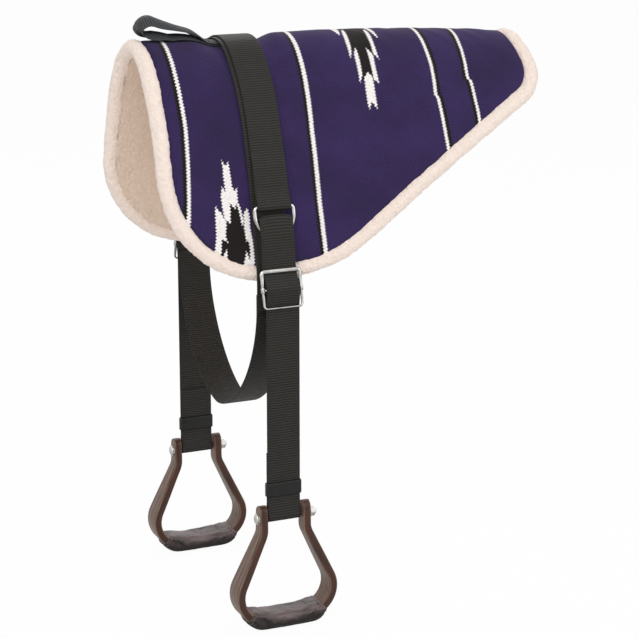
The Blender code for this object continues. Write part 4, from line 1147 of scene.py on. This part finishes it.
def tread(kit, label, side):
    """The padded leather sleeve: a cloth swollen between its sewn ends, then creased along its length."""
    centre = corner_centre()
    turn = acos((COVER_HALF_RUN - centre[0]) / STIRRUP_CORNER)
    corner = [(centre[0] + STIRRUP_CORNER * cos(a), centre[1] + STIRRUP_CORNER * sin(a),
               cos(a), sin(a)) for a in np.linspace(turn, pi / 2, 26)]
    half = corner + [(x, corner[-1][1], 0.0, 1.0) for x in np.linspace(corner[-1][0], 0, 14)[1:]]
    stations = np.array(half + [(-x, d, -a, b) for x, d, a, b in half[-2::-1]])
    run = lengths(stations[:, :2])
    ends = np.minimum(run, run[-1] - run)
    fullness = 0.0012 + (PADDING - 0.0028) * np.sqrt(eased(ends, 0.018))
    sections, power = 48, 2 / 3.6
    around = np.linspace(0, -2 * pi, sections, endpoint=False)
    grid = []
    for (x, down, a, b), pad in zip(stations, fullness):
        half_y, half_n = TREAD_DEPTH / 2 + COVER_GAP + pad, WOOD / 2 + COVER_GAP + pad
        ring = []
        for c, s in zip(map(cos, around), map(sin, around)):
            y = half_y * copysign(abs(c) ** power, c)
            n = half_n * copysign(abs(s) ** power, s)
            ring.append((x + a * n, side * strap_plane() + y, BOLT_Z - down - b * n))
        grid.append(ring)
    piece = mesh_piece(f"{label}_tread_pad", tube(np.array(grid), run, np.linspace(0, 0.13, sections + 1)),
                       kit["tread"], f"{label}_stirrup", "tread_leather", f"{label}_tread_cover")
    count = len(run) * sections
    puffed(piece, [*range(3 * sections), *range(count - 3 * sections, count)])
    grid = corners_of(piece).reshape(len(run), sections, 3)
    spots = np.broadcast_arrays(run[:, None] * 22, np.cos(around) * 2.2, np.sin(around) * 2.2 + side)
    spots = np.stack(spots, -1)
    crease = np.abs(roughness_of(spots, 1.0, 3)) * CREASE * eased(ends, 0.02)[:, None]
    middle = grid.mean(1, keepdims=True)
    grid = grid - unit(grid - middle) * crease[..., None]
    move_corners(piece, grid)
    rows = []
    for index in (3, len(run) - 4):
        ring = grid[index]
        ahead, facing = unit(np.roll(ring, -1, 0) - ring), unit(ring - middle[index])
        rows += [(ring[k] + facing[k] * 0.0001, ahead[k], facing[k]) for k in range(0, sections, 2)]
    mesh_piece(f"{label}_tread_stitching", stitches(rows, 0.00035, 0.0026), kit["tan_thread"],
               f"{label}_stirrup", "tread_leather")


def turned(profile, out, z):
    """Arrays of a form turned about an X axis, from (radius, forward) pairs."""
    sides = 36
    turn = np.linspace(0, -2 * pi, sides, endpoint=False)
    grid = np.array([[(-ahead, out + radius * cos(t), z + radius * sin(t)) for t in turn]
                     for radius, ahead in profile])
    return tube(grid, lengths(np.array(profile)), np.linspace(0, 2 * pi, sides + 1) * HEAD_RADIUS)


def bolt(kit, label, side):
    """Domed bolt; the washers and the nut are the CAD's own."""
    face = neck_half_width() + WOOD / 2 + METAL_GAP
    under_head = face + WASHER + METAL_GAP
    end = face + WASHER + NUT_HEIGHT + 2 * METAL_GAP + BOLT_END
    profile = [(HEAD_RADIUS * sin(a), under_head + HEAD_HEIGHT * cos(a) ** 0.8)
               for a in np.linspace(0.05, pi / 2 * 0.999, 14)]
    profile += [(HEAD_RADIUS, under_head + 0.0004), (HEAD_RADIUS - 0.0004, under_head),
                (BOLT_RADIUS, under_head), (BOLT_RADIUS, -end + 0.0006), (BOLT_RADIUS - 0.0006, -end)]
    mesh_piece(f"{label}_domed_bolt", turned(profile, side * strap_plane(), BOLT_Z), kit["bolt"],
               f"{label}_stirrup", "chrome", f"{label}_stirrup_bolt")
    for part in ("stirrup_nut", "head_washer", "nut_washer"):
        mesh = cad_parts[f"{label}_{part}"].data
        mesh.materials.clear()
        mesh.materials.append(kit["bolt"])
        mesh.shade_smooth()
        mesh.set_sharp_from_angle(angle=radians(35))


# ---- stage, light and camera

# (name, place, size in metres, power in watts)
LAMPS = (("key", (-1.5, -2.2, 2.4), 2.2, 51), ("fill", (2.4, -1.8, 0.9), 2.4, 18),
         ("back", (0.4, 2.6, 2.2), 2.0, 24))
LAMP_TARGET = (0.1, 0, -0.3)
CAMERA_PLACE, CAMERA_TARGET, LENS, SENSOR = (-1.1153, -2.7452, 0.373), (0.1347, -0.0012, -0.408), 116.24, 36
WORLD_LIGHT, FLOOR_GLOW, FLOOR_HALF = 0.55, 0.96, 9


def aimed(thing, place, target):
    thing.location = place
    thing.rotation_euler = (Vector(target) - thing.location).to_track_quat("-Z", "Y").to_euler()


def studio():
    """White surroundings, a pale floor that looks nearly white, three soft lamps and the camera."""
    world = bpy.data.worlds.new("studio")
    bpy.context.scene.world = world
    world.use_nodes = True
    net = Net(world.node_tree)
    rays = net.node("LightPath").node.outputs
    seen = rays["Is Camera Ray"]
    for name in ("Is Glossy Ray", "Is Transmission Ray"):
        seen = net.most(seen, rays[name])
    background = net.tree.nodes["Background"]
    net.feed(background.inputs["Color"], (1, 1, 1, 1))
    net.feed(background.inputs["Strength"],
             net.node("MapRange", inputs={"Value": seen, "To Min": WORLD_LIGHT, "To Max": 1.0}))

    net = Material("pale_floor", Roughness=0.9)
    grain = net.noise(net.object_place(), 9.0, 3.0)
    net.finish(net.mix(grain, (0.90, 0.90, 0.90, 1), (0.94, 0.94, 0.94, 1)))
    glow = net.mul(net.node("LightPath", out="Is Camera Ray"), FLOOR_GLOW)
    both = net.node("MixShader", inputs={0: glow, 1: net.shader.outputs[0], 2: net.node("Emission")})
    net.feed(net.tree.nodes["Material Output"].inputs["Surface"], both)
    mesh = bpy.data.meshes.new("floor")
    corners = ((-1, -1), (1, -1), (1, 1), (-1, 1))
    mesh.from_pydata([(x * FLOOR_HALF, y * FLOOR_HALF, cad_box[0].z - 0.001) for x, y in corners], [],
                     [(0, 1, 2, 3)])
    mesh.materials.append(net.material)
    added("floor", mesh)

    for name, place, size, power in LAMPS:
        lamp = bpy.data.lights.new(name, "AREA")
        lamp.shape = "DISK"
        lamp.size = size
        lamp.energy = power
        aimed(added(name, lamp), place, LAMP_TARGET)

    lens = bpy.data.cameras.new("camera")
    lens.sensor_width = SENSOR
    lens.lens = LENS
    camera = added("camera", lens)
    aimed(camera, CAMERA_PLACE, CAMERA_TARGET)
    bpy.context.scene.camera = camera
    bpy.context.scene.view_settings.view_transform = "Standard"


def main():
    studio()
    kit = materials()
    for make in (blanket, lining, edge_roll, girth, support, handle):
        make(kit)
    for label, side in SIDES.items():
        for make in (metalwork, strap, keeper, stirrup, tread, bolt):
            make(kit, label, side)
    bpy.context.view_layer.update()


main()
